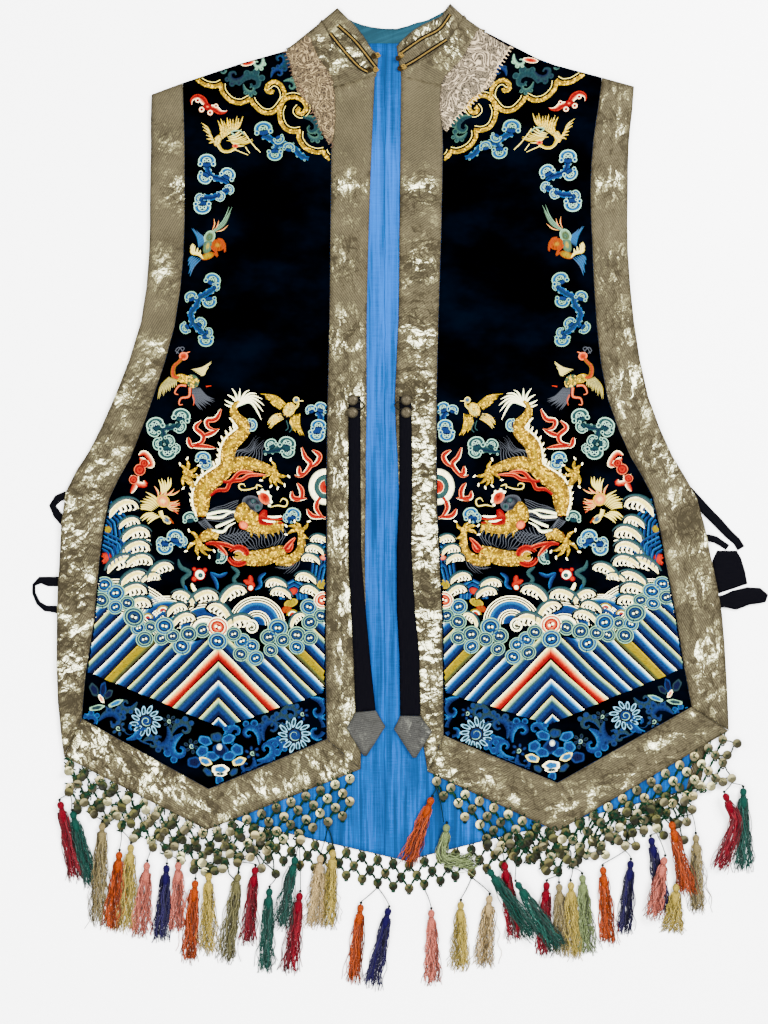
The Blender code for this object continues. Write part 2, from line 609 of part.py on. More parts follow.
def add_strands(shape, end, row):
    """Draw six three-sided strands out of a tassel head's flat end, spread towards the tip."""
    _, _, _, _, tip_x, tip_down, rest, bend = row
    origin = world(*end)
    corners = [face for face in shape.faces if len(face.verts) == 3]
    corners.sort(key=lambda face: (face.calc_center_median() - origin).length)
    cap = bmesh.ops.dissolve_faces(shape, faces=corners[:CAP_TRIANGLES])["region"][0]
    ends = bmesh.ops.poke(shape, faces=[cap])["faces"]
    bmesh.ops.inset_individual(shape, faces=ends, thickness=STRAND_INSET * MM)
    level = (rest + STRAND_MIDDLE) * MM
    stops = [(Vector((*world(tip_x, tip_down, 0).xy, level)), TIP_SCALE, STRAND_SPREAD)]
    if bend:
        stops.insert(0, (Vector((*world(*bend, 0).xy, level)), BEND_SCALE, BEND_SPREAD))
    heading = flat_heading(origin, stops[0][0])
    reach_side = HEAD_RADIUS
    reach_up = HEAD_RADIUS
    size = 1.0
    for number, (stop, scale, spread) in enumerate(stops):
        following = stops[min(number + 1, len(stops) - 1)][0]
        onward = (flat_heading(origin, stop) + flat_heading(origin, following)).normalized()
        if number:
            onward = flat_heading(origin, stop)
        turn = heading.rotation_difference(onward)
        ends = bmesh.ops.extrude_discrete_faces(shape, faces=ends)["faces"]
        for face in ends:
            middle = face.calc_center_median()
            sideways = (middle - origin).dot(heading.cross(UP)) / reach_side
            upwards = (middle - origin).z / reach_up
            place = stop + onward.cross(UP) * (sideways * spread) + UP * (upwards * STRAND_RISE)
            for vertex in face.verts:
                vertex.co = place + turn @ (vertex.co - middle) * (scale / size)
        origin = stop
        heading = onward
        size = scale
        reach_side = spread
        reach_up = STRAND_RISE


def hanging_point(net, rows):
    """The lowest disc of a net nearest to the tassels, and the place just below its rim."""
    discs = net_discs(net)
    x = sum(row[2] for row in rows) / len(rows)
    down = min(row[3] for row in rows)
    free = [disc for (row, step), disc in discs.items()
            if ((row + 1, step + 1) not in discs or (row + 1, step - 1) not in discs)
            and disc[1] < down - HANG_CLEARANCE]
    nearest = min(free, key=lambda disc: math.hypot(SIDEWAYS_WEIGHT * (disc[0] - x), disc[1] - down))
    drop = KNOT_DROP if len(rows) == 1 else LOOP_DROP
    hang_down = nearest[1] + DISC_RADIUS + drop
    return nearest[0], hang_down, net_level(net, nearest[0], hang_down) + CORD_LIFT, 1.0


def make_tassels():
    """Tassels on cords: a pair is one cord looped under a disc, a single one ends in a knot there."""
    for name in sorted({row[0] for row in TASSELS}):
        rows = [row for row in TASSELS if row[0] == name]
        hang = hanging_point(rows[0][1], rows)
        heads = [head_path(row) for row in rows]
        path = [hang] + heads[-1]
        if len(rows) > 1:
            path = heads[0][::-1] + path
        shape, data = tube_mesh(name, path, CORD_RADIUS, 1)
        for row, head in zip(rows, heads):
            add_strands(shape, head[-1][:3], row)
        mesh_object(name, shape, data, "silk")


def make_buttons():
    """A pair of domed buttons on one cord loop, above the strap's upper end."""
    for name, (x, down_first, down_second, loop_x) in BUTTON_PAIRS.items():
        level = TRIM_LEVEL + fold_height(x, down_first) + TRIM_WALL + SEAM_GAP
        middle = (down_first + down_second) / 2
        cord = ((x, down_first), (loop_x, middle - LOOP_HALF_WIDTH),
                (loop_x, middle + LOOP_HALF_WIDTH), (x, down_second))
        path = [(cord_x, cord_down, level + LOOP_LIFT, 1.0) for cord_x, cord_down in cord]
        shape, data = tube_mesh(name, path, LOOP_RADIUS, 0)
        piece = mesh_object(name, shape, data, "button")
        for down in (down_first, down_second):
            bpy.ops.mesh.primitive_uv_sphere_add(
                segments=BUTTON_SEGMENTS, ring_count=BUTTON_RINGS, radius=BUTTON_RADIUS * MM,
                location=world(x, down, level + BUTTON_HEIGHT / 2))
            dome = bpy.context.object
            dome.scale = (1, 1, BUTTON_HEIGHT / 2 / BUTTON_RADIUS)
            bpy.ops.object.transform_apply(location=False, rotation=False, scale=True)
            join = piece.modifiers.new("join", "BOOLEAN")
            join.operation = "UNION"
            join.solver = "EXACT"
            join.object = dome
            bpy.context.view_layer.objects.active = piece
            bpy.ops.object.modifier_apply(modifier=join.name)
            bpy.data.objects.remove(dome, do_unlink=True)


def make_frogs():
    """The corded fastening on each collar half: one cord up the collar and back along its lower edge."""
    for name, points in FROGS.items():
        path = [(x, down, FROG_LEVEL + FROG_RADIUS, 1.0) for x, down in points]
        shape, data = tube_mesh(name, path, FROG_RADIUS, 1)
        mesh_object(name, shape, data, "frog")


clear_scene()
vest = make_collection("ceremonial_vest")
materials = {name: make_material(name) for name in FINISHES}
make_back()
for front_side in PANELS:
    make_front(front_side)
make_strips()
make_ribbons()
for net_name in NETS:
    make_net(net_name)
make_tassels()
make_buttons()
make_frogs()
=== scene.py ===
# %% [markdown]
# # An embroidered ceremonial vest, laid flat
#
# This court vest lies open on a white table and is seen from straight above. Its black satin
# fronts are covered with silk and gold embroidery, framed by wide silver brocade bands, and its hem
# ends in knotted nets of metal discs with silk tassels. The CAD frame gives each cut piece its place
# and size. This lesson dresses every piece: cloth becomes thin creased shells, the nets become
# discs and cords, and the embroidery is laid as small patches of thread.

# %% Start from an empty scene and load the frame
import json
import math

import bpy
import numpy as np
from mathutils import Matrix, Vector, geometry
from mathutils.bvhtree import BVHTree

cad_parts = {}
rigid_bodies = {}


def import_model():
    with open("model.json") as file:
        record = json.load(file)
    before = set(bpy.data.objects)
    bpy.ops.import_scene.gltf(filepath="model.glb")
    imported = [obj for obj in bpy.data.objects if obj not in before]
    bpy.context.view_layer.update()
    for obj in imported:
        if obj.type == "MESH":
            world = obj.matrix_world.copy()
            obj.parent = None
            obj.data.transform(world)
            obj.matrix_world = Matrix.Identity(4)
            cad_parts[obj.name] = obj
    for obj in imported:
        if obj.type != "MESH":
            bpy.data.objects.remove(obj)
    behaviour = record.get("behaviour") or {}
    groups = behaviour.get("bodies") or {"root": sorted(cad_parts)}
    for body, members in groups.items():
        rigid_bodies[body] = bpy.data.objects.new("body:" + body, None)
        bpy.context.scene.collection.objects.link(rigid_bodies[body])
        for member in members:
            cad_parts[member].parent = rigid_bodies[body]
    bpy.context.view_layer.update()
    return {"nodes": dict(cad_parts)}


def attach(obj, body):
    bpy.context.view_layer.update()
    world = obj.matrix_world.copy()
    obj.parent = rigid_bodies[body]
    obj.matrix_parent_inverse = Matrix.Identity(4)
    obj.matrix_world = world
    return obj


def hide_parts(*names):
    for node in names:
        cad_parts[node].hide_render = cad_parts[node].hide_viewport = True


for item in list(bpy.data.objects):
    bpy.data.objects.remove(item, do_unlink=True)
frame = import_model()
print("CAD nodes:", len(frame["nodes"]))

# %% [markdown]
# All sizes below are in millimetres on the laid-out vest, as a maker would note them: x from the
# middle line, down from the collar tip, and lift above the table. One function turns them into
# Blender's metres. Tables are written as plain text: a row ends at a semicolon, a place is x,down,
# and the words of a row come last.

# %% Millimetres on the vest
MM = 0.001
LENGTH = 1101.0
RNG = np.random.default_rng(7)


def world(x, down, lift):
    """Places in metres for millimetres on the vest; works on numbers and on arrays."""
    x, down, lift = np.broadcast_arrays(x, down, lift)
    return np.stack([x, LENGTH / 2 - down, lift], axis=-1) * MM


def figure(word):
    return float(word) if "." in word else int(word)


def places(text):
    """The places of one line, such as "-230,82 -225,87"."""
    return [tuple(figure(part) for part in word.split(",")) for word in text.split()]


def lines(text, mark=";"):
    return [places(part) for part in text.split(mark) if part.strip()]


def table(text):
    """Rows of numbers and places, each with its words joined in one string at its end."""
    rows = []
    for row in text.split(";"):
        words = " ".join(word for word in row.split() if word[0].isalpha())
        cells = places(" ".join(word for word in row.split() if not word[0].isalpha()))
        rows.append([cell if len(cell) > 1 else cell[0] for cell in cells] + [words] * bool(words))
    return rows


def strokes(text):
    """Rows of a line, its numbers and its words, split by colons."""
    parts = [row.split(":") for row in text.split(";")]
    return [(places(line), [figure(word) for word in numbers.split()], words.strip())
            for line, numbers, words in parts]


def smooth_line(points, steps=6):
    """A Catmull-Rom curve through the points, each interval cut into the same number of steps."""
    points = np.asarray(points, float)
    padded = np.concatenate([points[:1], points, points[-1:]])
    t = (np.arange(steps) / steps)[:, None]
    parts = []
    for p0, p1, p2, p3 in zip(padded, padded[1:], padded[2:], padded[3:]):
        parts.append(0.5 * (2 * p1 + (p2 - p0) * t + (2 * p0 - 5 * p1 + 4 * p2 - p3) * t ** 2
                            + (3 * p1 - p0 - 3 * p2 + p3) * t ** 3))
    return np.concatenate(parts + [points[-1:]])


def along_line(line, marks):
    """The places on a line at marks that count its points."""
    return np.stack([np.interp(marks, np.arange(len(line)), column) for column in line.T], axis=1)


def spaced(line, gap):
    """The same line with its points an even gap apart."""
    line = np.asarray(line, float)
    lengths = np.concatenate([[0], np.cumsum(np.linalg.norm(np.diff(line, axis=0), axis=1))])
    count = max(int(round(lengths[-1] / gap)), 1)
    marks = np.linspace(0, lengths[-1], count + 1)
    return np.stack([np.interp(marks, lengths, column) for column in line.T], axis=1)


print("collar tip in metres:", world(0.0, 0.0, 0.0))

# %% [markdown]
# A finish is a small network of shader nodes. Two helpers keep the networks readable: `Amount`
# wraps a socket so that sums are written as in Python, and `Finish` adds any other node by its type,
# its settings and the values of its sockets.

# %% Shader helpers
def dye(colour):
    """A reflectance in thousandths as a base colour. The view's curve lifts strong tones, so the
    tables hold deeper dyes than the eye sees; each was found by trial under this studio light."""
    return tuple(float(value) / 1000 for value in colour)


class Amount:
    """A socket that takes part in Python sums; each sum adds its Math node."""

    def __init__(self, tree, socket):
        self.tree = tree
        self.socket = socket

    def sum(self, operation, *values):
        node = self.tree.nodes.new("ShaderNodeMath")
        node.operation = operation
        for place, value in zip(node.inputs, values):
            if isinstance(value, Amount):
                self.tree.links.new(value.socket, place)
            else:
                place.default_value = value
        return Amount(self.tree, node.outputs[0])

    def __add__(self, other):
        return self.sum("ADD", self, other)

    __radd__ = __add__

    def __mul__(self, other):
        return self.sum("MULTIPLY", self, other)

    __rmul__ = __mul__

    def __sub__(self, other):
        return self.sum("SUBTRACT", self, other)

    def __rsub__(self, other):
        return self.sum("SUBTRACT", other, self)


# %% [markdown]
# `Finish` holds one material. Its methods add the few kinds of node that the finishes of this vest
# share, so that a finish further down reads as a list of what is seen on the cloth.

# %% One class for every finish
class Finish:
    """One material, built node by node."""

    def __init__(self, name):
        self.material = bpy.data.materials.new(name)
        self.material.use_nodes = True
        self.tree = self.material.node_tree
        self.shader = self.tree.nodes["Principled BSDF"]

    def node(self, kind, settings=None, sockets=None, output=0):
        node = self.tree.nodes.new(kind)
        for name, value in (settings or {}).items():
            setattr(node, name, value)
        for name, value in (sockets or {}).items():
            self.plug(value, node.inputs[name])
        return Amount(self.tree, node.outputs[output])

    def plug(self, value, place):
        if isinstance(value, Amount):
            self.tree.links.new(value.socket, place)
        else:
            place.default_value = value

    def set(self, **sockets):
        for name, value in sockets.items():
            place = self.shader.inputs[name.replace("_", " ")]
            self.plug((*value, 1.0) if isinstance(value, tuple) and len(value) == 3 else value, place)

    def parts(self, vector):
        node = self.tree.nodes.new("ShaderNodeSeparateXYZ")
        self.plug(vector, node.inputs[0])
        return [Amount(self.tree, output) for output in node.outputs]

    def stretched(self, vector, along, across, level=0.0):
        """The same coordinates with their two directions scaled on their own."""
        return self.node("ShaderNodeMapping", {}, {0: vector, 3: (along, across, level)})

    def noise(self, vector, scale, detail=3.0, roughness=0.5, distortion=0.0):
        return self.node("ShaderNodeTexNoise", {}, {
            "Vector": vector, "Scale": scale, "Detail": detail, "Roughness": roughness,
            "Distortion": distortion})

    def threads(self, vector, along, across, detail, roughness=0.5, distortion=0.0):
        """Noise drawn out along the threads of a weave."""
        return self.noise(self.stretched(vector, along, across), 1.0, detail, roughness, distortion)

    def place(self):
        """The place on the piece itself, in metres."""
        return self.node("ShaderNodeTexCoord", output=3)

    def ramp(self, amount, low, high, start=0.0, end=1.0):
        """The amount brought from low..high to start..end, smoothly."""
        node = self.tree.nodes.new("ShaderNodeMapRange")
        node.interpolation_type = "SMOOTHSTEP"
        for name, value in (("Value", amount), ("From Min", low), ("From Max", high),
                            ("To Min", start), ("To Max", end)):
            self.plug(value, node.inputs[name])
        return Amount(self.tree, node.outputs[0])

    def mix(self, factor, first, second):
        """Two colours mixed by a factor."""
        node = self.tree.nodes.new("ShaderNodeMix")
        node.data_type = "RGBA"
        node.clamp_factor = True
        self.plug(factor, node.inputs["Factor"])
        for place, value in ((node.inputs[6], first), (node.inputs[7], second)):
            self.plug((*value, 1.0) if isinstance(value, tuple) else value, place)
        return Amount(self.tree, node.outputs[2])

    def relief(self, height, distance, strength=1.0):
        """A bump of that height in millimetres, which completes the material."""
        normal = self.node("ShaderNodeBump", {}, {
            "Height": height, "Distance": distance * MM, "Strength": strength})
        self.plug(normal, self.shader.inputs["Normal"])
        return self.material

    def thread(self):
        return self.node("ShaderNodeAttribute", {"attribute_name": "thread"})

    def darker(self, share):
        return self.node("ShaderNodeVectorMath", {"operation": "SCALE"}, {0: self.thread(), 3: share})

    def edges(self, vector, scale):
        """Distance from the walls of a net of cells."""
        return self.node("ShaderNodeTexVoronoi", {"feature": "DISTANCE_TO_EDGE"},
                         {"Vector": vector, "Scale": scale})

    def facets(self, vector, scale):
        """Crumpled foil: an uneven net of cells, each with a tone of its own."""
        return self.parts(self.node("ShaderNodeTexVoronoi", {}, {"Vector": vector, "Scale": scale}, 1))[0]

    def value(self, name):
        """A number that each point of the mesh carries, such as "crinkle" or "fold"."""
        return self.node("ShaderNodeAttribute", {"attribute_name": name}, output=2)

    def weave(self):
        return self.node("ShaderNodeUVMap", {"uv_map": "weave"})


# %% [markdown]
# Cloth pieces are cut from their CAD solids. The rim of a solid's upper face is the cut line. It is
# filled with an even net of small triangles, because such a net can crease in any direction, where
# the solid's own long faces can't. Each point is dropped on the solid, so the shell has the same form.
# A grid primitive would leave steps along the curved seams, so the net is made by triangulation.

# %% Cut lines and cloth nets
def cut_line(node):
    """The rim of a CAD piece's upper face, as x and down in millimetres."""
    mesh = frame["nodes"][node].data
    places = [tuple(round(value / MM, 2) for value in vertex.co) for vertex in mesh.vertices]
    uses = {}
    for face in mesh.polygons:
        if face.normal.z > 0.5:
            corners = [places[index] for index in face.vertices]
            for start, end in zip(corners, corners[1:] + corners[:1]):
                uses[(start, end)] = uses.get((start, end), 0) + 1
    following = {start: end for start, end in uses if (end, start) not in uses}
    first = min(following)
    loop = [first]
    while following[loop[-1]] != first:
        loop.append(following[loop[-1]])
    return np.array([(x, LENGTH / 2 - y) for x, y, _ in loop])


def stepped(loop, gap):
    """The loop with its corners kept and even steps between them."""
    return np.concatenate([spaced([start, end], gap)[:-1]
                           for start, end in zip(loop, np.roll(loop, -1, axis=0))])


def rim_distance(points, loop):
    """Distance of each point from the cut line, and whether it lies inside it."""
    starts = loop
    ends = np.roll(loop, -1, axis=0)
    distance = np.full(len(points), 1e9)
    inside = np.zeros(len(points), bool)
    for start, end in zip(starts, ends):
        run = end - start
        share = np.clip(((points - start) @ run) / (run @ run), 0, 1)
        gap = np.linalg.norm(points - (start + share[:, None] * run), axis=1)
        distance = np.minimum(distance, gap)
        crosses = (start[1] > points[:, 1]) != (end[1] > points[:, 1])
        rise = np.where(end[1] == start[1], 1e-9, end[1] - start[1])
        side = start[0] + (points[:, 1] - start[1]) / rise * run[0]
        inside ^= crosses & (points[:, 0] < side)
    return distance, inside


# %% [markdown]
# The net that fills a cut line is made flat first. Then each of its points is dropped on the solid,
# and the heights are eased, so that no step of the solid shows as a kink.

# %% Nets of triangles
def placed(name, data):
    """A new object with that data, in the scene."""
    thing = bpy.data.objects.new(name, data)
    bpy.context.scene.collection.objects.link(thing)
    return thing


def add_weave(mesh, weave):
    """The coordinates that finishes read as the weave, from one place for each point."""
    corners = np.zeros(len(mesh.loops), int)
    mesh.loops.foreach_get("vertex_index", corners)
    mesh.uv_layers.new(name="weave").data.foreach_set("uv", weave[corners].ravel())


def cloth_net(loop, pitch):
    """Even points inside the cut line and the triangles between them."""
    rim = stepped(loop, pitch * 0.7)
    low = loop.min(axis=0)
    high = loop.max(axis=0)
    rows = np.arange(low[1], high[1], pitch * 0.866)
    columns = [np.arange(low[0] + (pitch / 2 if number % 2 else 0), high[0], pitch)
               for number in range(len(rows))]
    grid = np.concatenate([np.stack([column, np.full(len(column), row)], axis=1)
                           for column, row in zip(columns, rows)])
    distance, inside = rim_distance(grid, loop)
    grid = grid[inside & (distance > pitch * 0.55)]
    points = [Vector(point) for point in np.concatenate([rim, grid])]
    found = geometry.delaunay_2d_cdt(points, [], [list(range(len(rim)))], 1, 0.001)
    return np.array([tuple(point) for point in found[0]]), [tuple(face) for face in found[2]]


def level_on(tree, points):
    """Height in millimetres of the solid under each point of x and down."""
    heights = []
    for place in world(points[:, 0], points[:, 1], 900.0):
        hit = tree.ray_cast(Vector(place), Vector((0, 0, -1)))[0]
        if hit is None:
            hit = tree.find_nearest(Vector((place[0], place[1], 0.006)))[0]
        heights.append(hit.z / MM)
    return np.array(heights)


def eased(points, faces, values, rounds):
    """Values evened out over the net, so that the solid's flat faces become one soft surface."""
    edges = np.array(sorted({tuple(sorted(pair)) for face in faces
                             for pair in zip(face, face[1:] + face[:1])}))
    count = np.bincount(edges.ravel(), minlength=len(points))
    for _ in range(rounds):
        total = np.zeros(len(points))
        np.add.at(total, edges[:, 0], values[edges[:, 1]])
        np.add.at(total, edges[:, 1], values[edges[:, 0]])
        values = 0.5 * values + 0.5 * total / count
    return values

# %% [markdown]
# Real cloth that has been folded away for a long time is never flat. The creases are listed one row
# each, uneven in length and depth. A positive height is a ridge and a negative one a trough. The
# fronts, their bands and all that lies on them share one table, so the layers stay apart; the lining
# has its own.

# %% Creases, one row each: x, down, heading in degrees, half length, half width, height
CREASES_FRONT = np.array(table("""
-312 455 62 30 5 1; -322 480 20 26 4 -0.8; -340 508 48 34 6 1.3; -352 530 12 22 4 0.9;
-360 556 65 30 5 -0.9; -366 590 30 36 6 1.2; -370 626 70 30 5 1; -360 655 15 26 5 -0.9;
-372 690 55 34 6 1.2; -364 724 80 30 5 0.9; -374 760 35 30 5 1.1; -362 795 60 28 5 -0.8;
-345 828 20 34 6 1.3; -316 842 62 26 5 1; -290 856 25 34 6 -0.9; -262 872 74 24 5 1.2; -238 890 30 30 5 1;
-205 898 100 24 5 -0.8; -180 892 150 34 6 1.1; -150 884 120 26 5 0.9; -118 872 160 30 5 1;
-90 858 110 22 5 -0.8; -62 846 150 26 5 1.1; -60 812 85 30 5 0.9; -66 760 78 46 6 1; -74 700 96 36 5 -0.7;
-64 640 82 44 5 0.9; -60 560 95 36 5 0.7; -70 500 70 26 4 0.7; -58 380 5 22 4 0.6; -56 290 170 22 4 0.5;
-58 205 12 24 4 0.6; -262 190 10 20 6 0.7; -270 300 160 18 4 0.5; -276 380 14 26 5 0.8;
-290 420 170 26 5 0.9; 282 455 118 30 5 1; 296 482 160 26 4 -0.8; 314 512 132 34 6 1.3;
326 540 168 24 4 0.9; 332 572 115 30 5 -0.9; 340 606 150 34 6 1.2; 346 640 110 30 5 1;
352 676 165 26 5 -0.9; 344 706 125 34 6 1.2; 352 742 100 30 5 0.9; 346 776 145 30 5 1.1;
334 806 120 28 5 -0.8; 300 826 160 34 6 1.3; 270 848 118 26 5 1; 244 862 155 34 6 -0.9;
214 882 106 24 5 1.2; 186 900 150 30 5 1; 150 896 80 24 5 -0.8; 122 886 30 34 6 1.1; 92 872 60 26 5 0.9;
62 858 20 30 5 1; 38 838 70 22 5 1; 34 780 102 36 5 0.9; 38 710 84 44 6 1; 30 640 98 36 5 -0.7;
30 560 86 44 5 0.9; 26 480 100 30 4 0.7; 20 380 170 22 4 0.6; 22 280 10 22 4 0.5; 24 200 165 24 4 0.6;
240 200 168 20 6 0.7; 240 310 20 18 4 0.5; 246 370 165 26 5 0.8; 258 420 12 26 5 0.9;
-186 300 82 90 5 0.5; -130 260 100 80 5 0.5; -150 360 30 60 5 0.45; -200 390 160 50 5 0.4;
-110 330 60 50 4 0.45; 100 300 98 90 5 0.5; 160 270 80 80 5 0.5; 130 370 150 60 5 0.45;
190 330 110 50 4 0.45; 90 230 40 40 4 0.4; -96 60 120 26 4 0.6; -62 74 40 24 4 0.5; 60 74 140 24 4 0.6;
84 50 60 24 4 0.5"""))
CREASES_LINING = np.array(table("""
-16 300 89 260 3 0.7; -8 250 91 220 2 -0.5; -24 480 88 200 3 0.6; -14 620 92 240 3 0.6;
-30 760 87 160 3 0.5; -4 800 90 180 3 0.6; -18 140 84 70 4 0.8; -26 110 96 60 3 0.6; 20 900 80 60 4 0.5;
-40 900 100 60 4 0.5; 60 920 86 40 4 0.5; -70 910 94 40 4 0.5"""))


def creased(points, table):
    """Height in millimetres that a table of creases adds at each point."""
    height = np.zeros(len(points))
    for x, down, heading, half_length, half_width, rise in table:
        turn = math.radians(heading)
        across = (points[:, 1] - down) * math.cos(turn) - (points[:, 0] - x) * math.sin(turn)
        along = (points[:, 0] - x) * math.cos(turn) + (points[:, 1] - down) * math.sin(turn)
        bent = across + 0.004 * along ** 2 * math.copysign(1, rise)
        height += rise * np.exp(-(bent / half_width) ** 2 - (along / half_length) ** 2)
    return height


print("creases:", len(CREASES_FRONT), "on the fronts,", len(CREASES_LINING), "on the lining")

# %% [markdown]
# The brocade is crumpled in some places and smooth in others. A second table says where: x, down,
# reach across, reach down and how strongly. It becomes an attribute that the brocade's finish reads:
# the bump, the painted glints and the painted brown shade gather where the photographed cloth has
# them. The small strong spots by the collar set rows of painted glints.

# %% Crumpled places of the brocade, where painted glints and painted shade gather
CRUMPLE_AND_GLINT_SPOTS = np.array(table("""
-236 212 26 20 0.9; -262 150 30 24 0.35; -262 300 20 30 0.5; -272 400 40 24 0.45; -300 440 44 24 0.65;
-330 500 46 40 0.5; -356 560 40 40 0.8; -366 640 40 60 0.95; -366 740 40 70 0.95; -340 830 60 40 0.95;
-276 862 60 40 0.85; -214 900 46 34 0.55; -150 880 60 40 0.5; -80 856 50 40 0.6; -62 780 30 60 0.6;
-64 690 24 60 0.8; -62 600 24 60 0.9; -62 520 26 50 0.9; -60 445 30 40 0.8; -62 375 26 30 0.7;
-62 285 20 30 0.6; -66 205 26 16 0.8; -78 64 30 26 0.6; -60 50 30 30 0.6; 230 100 34 30 0.5;
240 130 30 40 0.5; 236 200 24 30 0.5; 240 300 26 40 0.5; 250 360 30 40 0.55; 262 430 40 40 0.7;
300 500 46 40 0.8; 330 570 40 50 0.75; 346 650 40 60 0.5; 346 750 40 70 0.55; 300 830 60 40 0.45;
240 866 60 40 0.45; 180 896 46 34 0.45; 110 878 60 40 0.5; 50 856 40 40 0.6; 30 780 30 60 0.9;
30 690 30 70 1.2; 28 600 30 60 1.3; 24 520 30 50 1.3; 22 440 30 40 1.05; 22 370 26 40 0.8;
22 290 26 30 0.8; 22 210 26 20 0.8; 52 40 30 30 0.8; 80 60 26 26 0.5; -90 50 6 18 1.2; -77 50 4 12 1.1;
-62 38 5 5 1.3; -57 48 5 5 1.3; -49 60 5 5 1.3; -42 70 5 5 1.2; 6 44 5 5 1.5; 15 39 4 5 1.5;
21 34 4 5 1.4; 30 28 5 5 1.5; 40 21 5 5 1.3"""))


def crumple_and_glints(points):
    amount = np.zeros(len(points))
    for x, down, reach_x, reach_down, strength in CRUMPLE_AND_GLINT_SPOTS:
        spread = ((points[:, 0] - x) / reach_x) ** 2 + ((points[:, 1] - down) / reach_down) ** 2
        amount = np.maximum(amount, strength * np.exp(-spread * 0.8))
    return amount


print("crumpled places:", len(CRUMPLE_AND_GLINT_SPOTS))

# %% [markdown]
# Laid cloth is thin, has two faces and bends over what lies under it. A cloth simulation would move it
# away from the photo, and a solid would look like board. So each piece is a net of triangles inside its
# cut line: it takes its height from the CAD piece, its creases are added, and its rim sinks a little.
# A Solidify modifier then gives it its second face. Where a neighbour covers the seam, an allowance of a
# few millimetres is tucked under.

# %% Making one cloth shell
SHELL = 1.1
THIN_SHELL = 0.8
ALLOWANCE = 4.8
SEAM_REACH = 6.5
shells = {}


def flat_size(points, loop):
    """Width, length and area in metres of the flat cut, measured along its own longest direction."""
    centred = points - points.mean(axis=0)
    axes = np.linalg.eigh(centred.T @ centred)[1]
    spread = (loop @ axes).max(axis=0) - (loop @ axes).min(axis=0)
    following = np.roll(loop, -1, axis=0)
    area = abs(np.sum(loop[:, 0] * following[:, 1] - loop[:, 1] * following[:, 0])) / 2
    width, length = sorted(spread * MM)
    return (float(max(width, 0.0101)), float(length)), float(area * MM * MM)


def with_allowance(loop, neighbours):
    """The cut line with a seam allowance where another piece lies beside it, to be tucked under."""
    loop = stepped(loop, 3.0)
    run = np.roll(loop, -1, axis=0) - np.roll(loop, 1, axis=0)
    out = np.stack([run[:, 1], -run[:, 0]], axis=1) / np.linalg.norm(run, axis=1, keepdims=True)
    following = np.roll(loop, -1, axis=0)
    if np.sum(loop[:, 0] * following[:, 1] - loop[:, 1] * following[:, 0]) < 0:
        out = -out
    inside = [rim_distance(loop + out * SEAM_REACH, cut_line(node))[1] for node in neighbours]
    under = np.any(inside, axis=0) * 1.0
    under = np.maximum(under, 0.6 * np.maximum(np.roll(under, 1), np.roll(under, -1)))
    return loop + out * ALLOWANCE * under[:, None]


def cloth_shell(node, material, slot, grain, pitch, creases, roll, rounds, thickness, neighbours):
    """A thin creased shell on the form of one CAD piece, with its weave turned to the grain."""
    loop = with_allowance(cut_line(node), neighbours) if neighbours else cut_line(node)
    points, faces = cloth_net(loop, pitch)
    mesh = frame["nodes"][node].data
    tree = BVHTree.FromPolygons([vertex.co for vertex in mesh.vertices],
                                [tuple(face.vertices) for face in mesh.polygons])
    lift = eased(points, faces, level_on(tree, points), rounds)
    folds = creased(points, creases)
    lift += folds
    distance, _ = rim_distance(points, loop)
    lift -= roll * np.exp(-distance / 1.6) + (0.9 * np.exp(-distance / 3.0) if neighbours else 0.0)
    shell = bpy.data.meshes.new("cloth_" + node)
    shell.from_pydata(world(points[:, 0], points[:, 1], lift), [], faces)
    if shell.polygons[0].normal.z < 0:
        shell.flip_normals()
    turn = math.radians(grain)
    places = world(points[:, 0], points[:, 1], 0.0)
    weave = np.stack([places[:, 0] * math.cos(turn) + places[:, 1] * math.sin(turn),
                      places[:, 1] * math.cos(turn) - places[:, 0] * math.sin(turn)], axis=1)
    add_weave(shell, weave)
    # Two attributes for the brocade's colour: how crumpled the cloth is, which gathers painted glints and
    # painted shade, and the crease heights, lowered towards the rim, which give painted highlight on ridges
    # and painted shade in troughs and along the edge.
    for name, values in (("crinkle_and_glint", crumple_and_glints(points)), ("fold_shading", folds - 0.8 * np.exp(-distance / 2.0))):
        shell.attributes.new(name, "FLOAT", "POINT").data.foreach_set("value", values)
    shell.materials.append(material)
    shell.shade_smooth()
    piece = placed("cloth_" + node, shell)
    bpy.ops.object.select_all(action="DESELECT")
    piece.select_set(True)
    bpy.context.view_layer.objects.active = piece
    wall = piece.modifiers.new("wall", "SOLIDIFY")
    wall.thickness = thickness * MM
    wall.offset = -1
    bpy.ops.object.modifier_apply(modifier=wall.name)
    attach(piece, "root")
    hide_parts(node)
    size, area = flat_size(points, loop)
    shells[node] = BVHTree.FromPolygons(world(points[:, 0], points[:, 1], lift).tolist(), faces)
    print(f"{node}: {len(faces)} faces, {size[0] * 1000:.0f} x {size[1] * 1000:.0f} mm")
    return piece
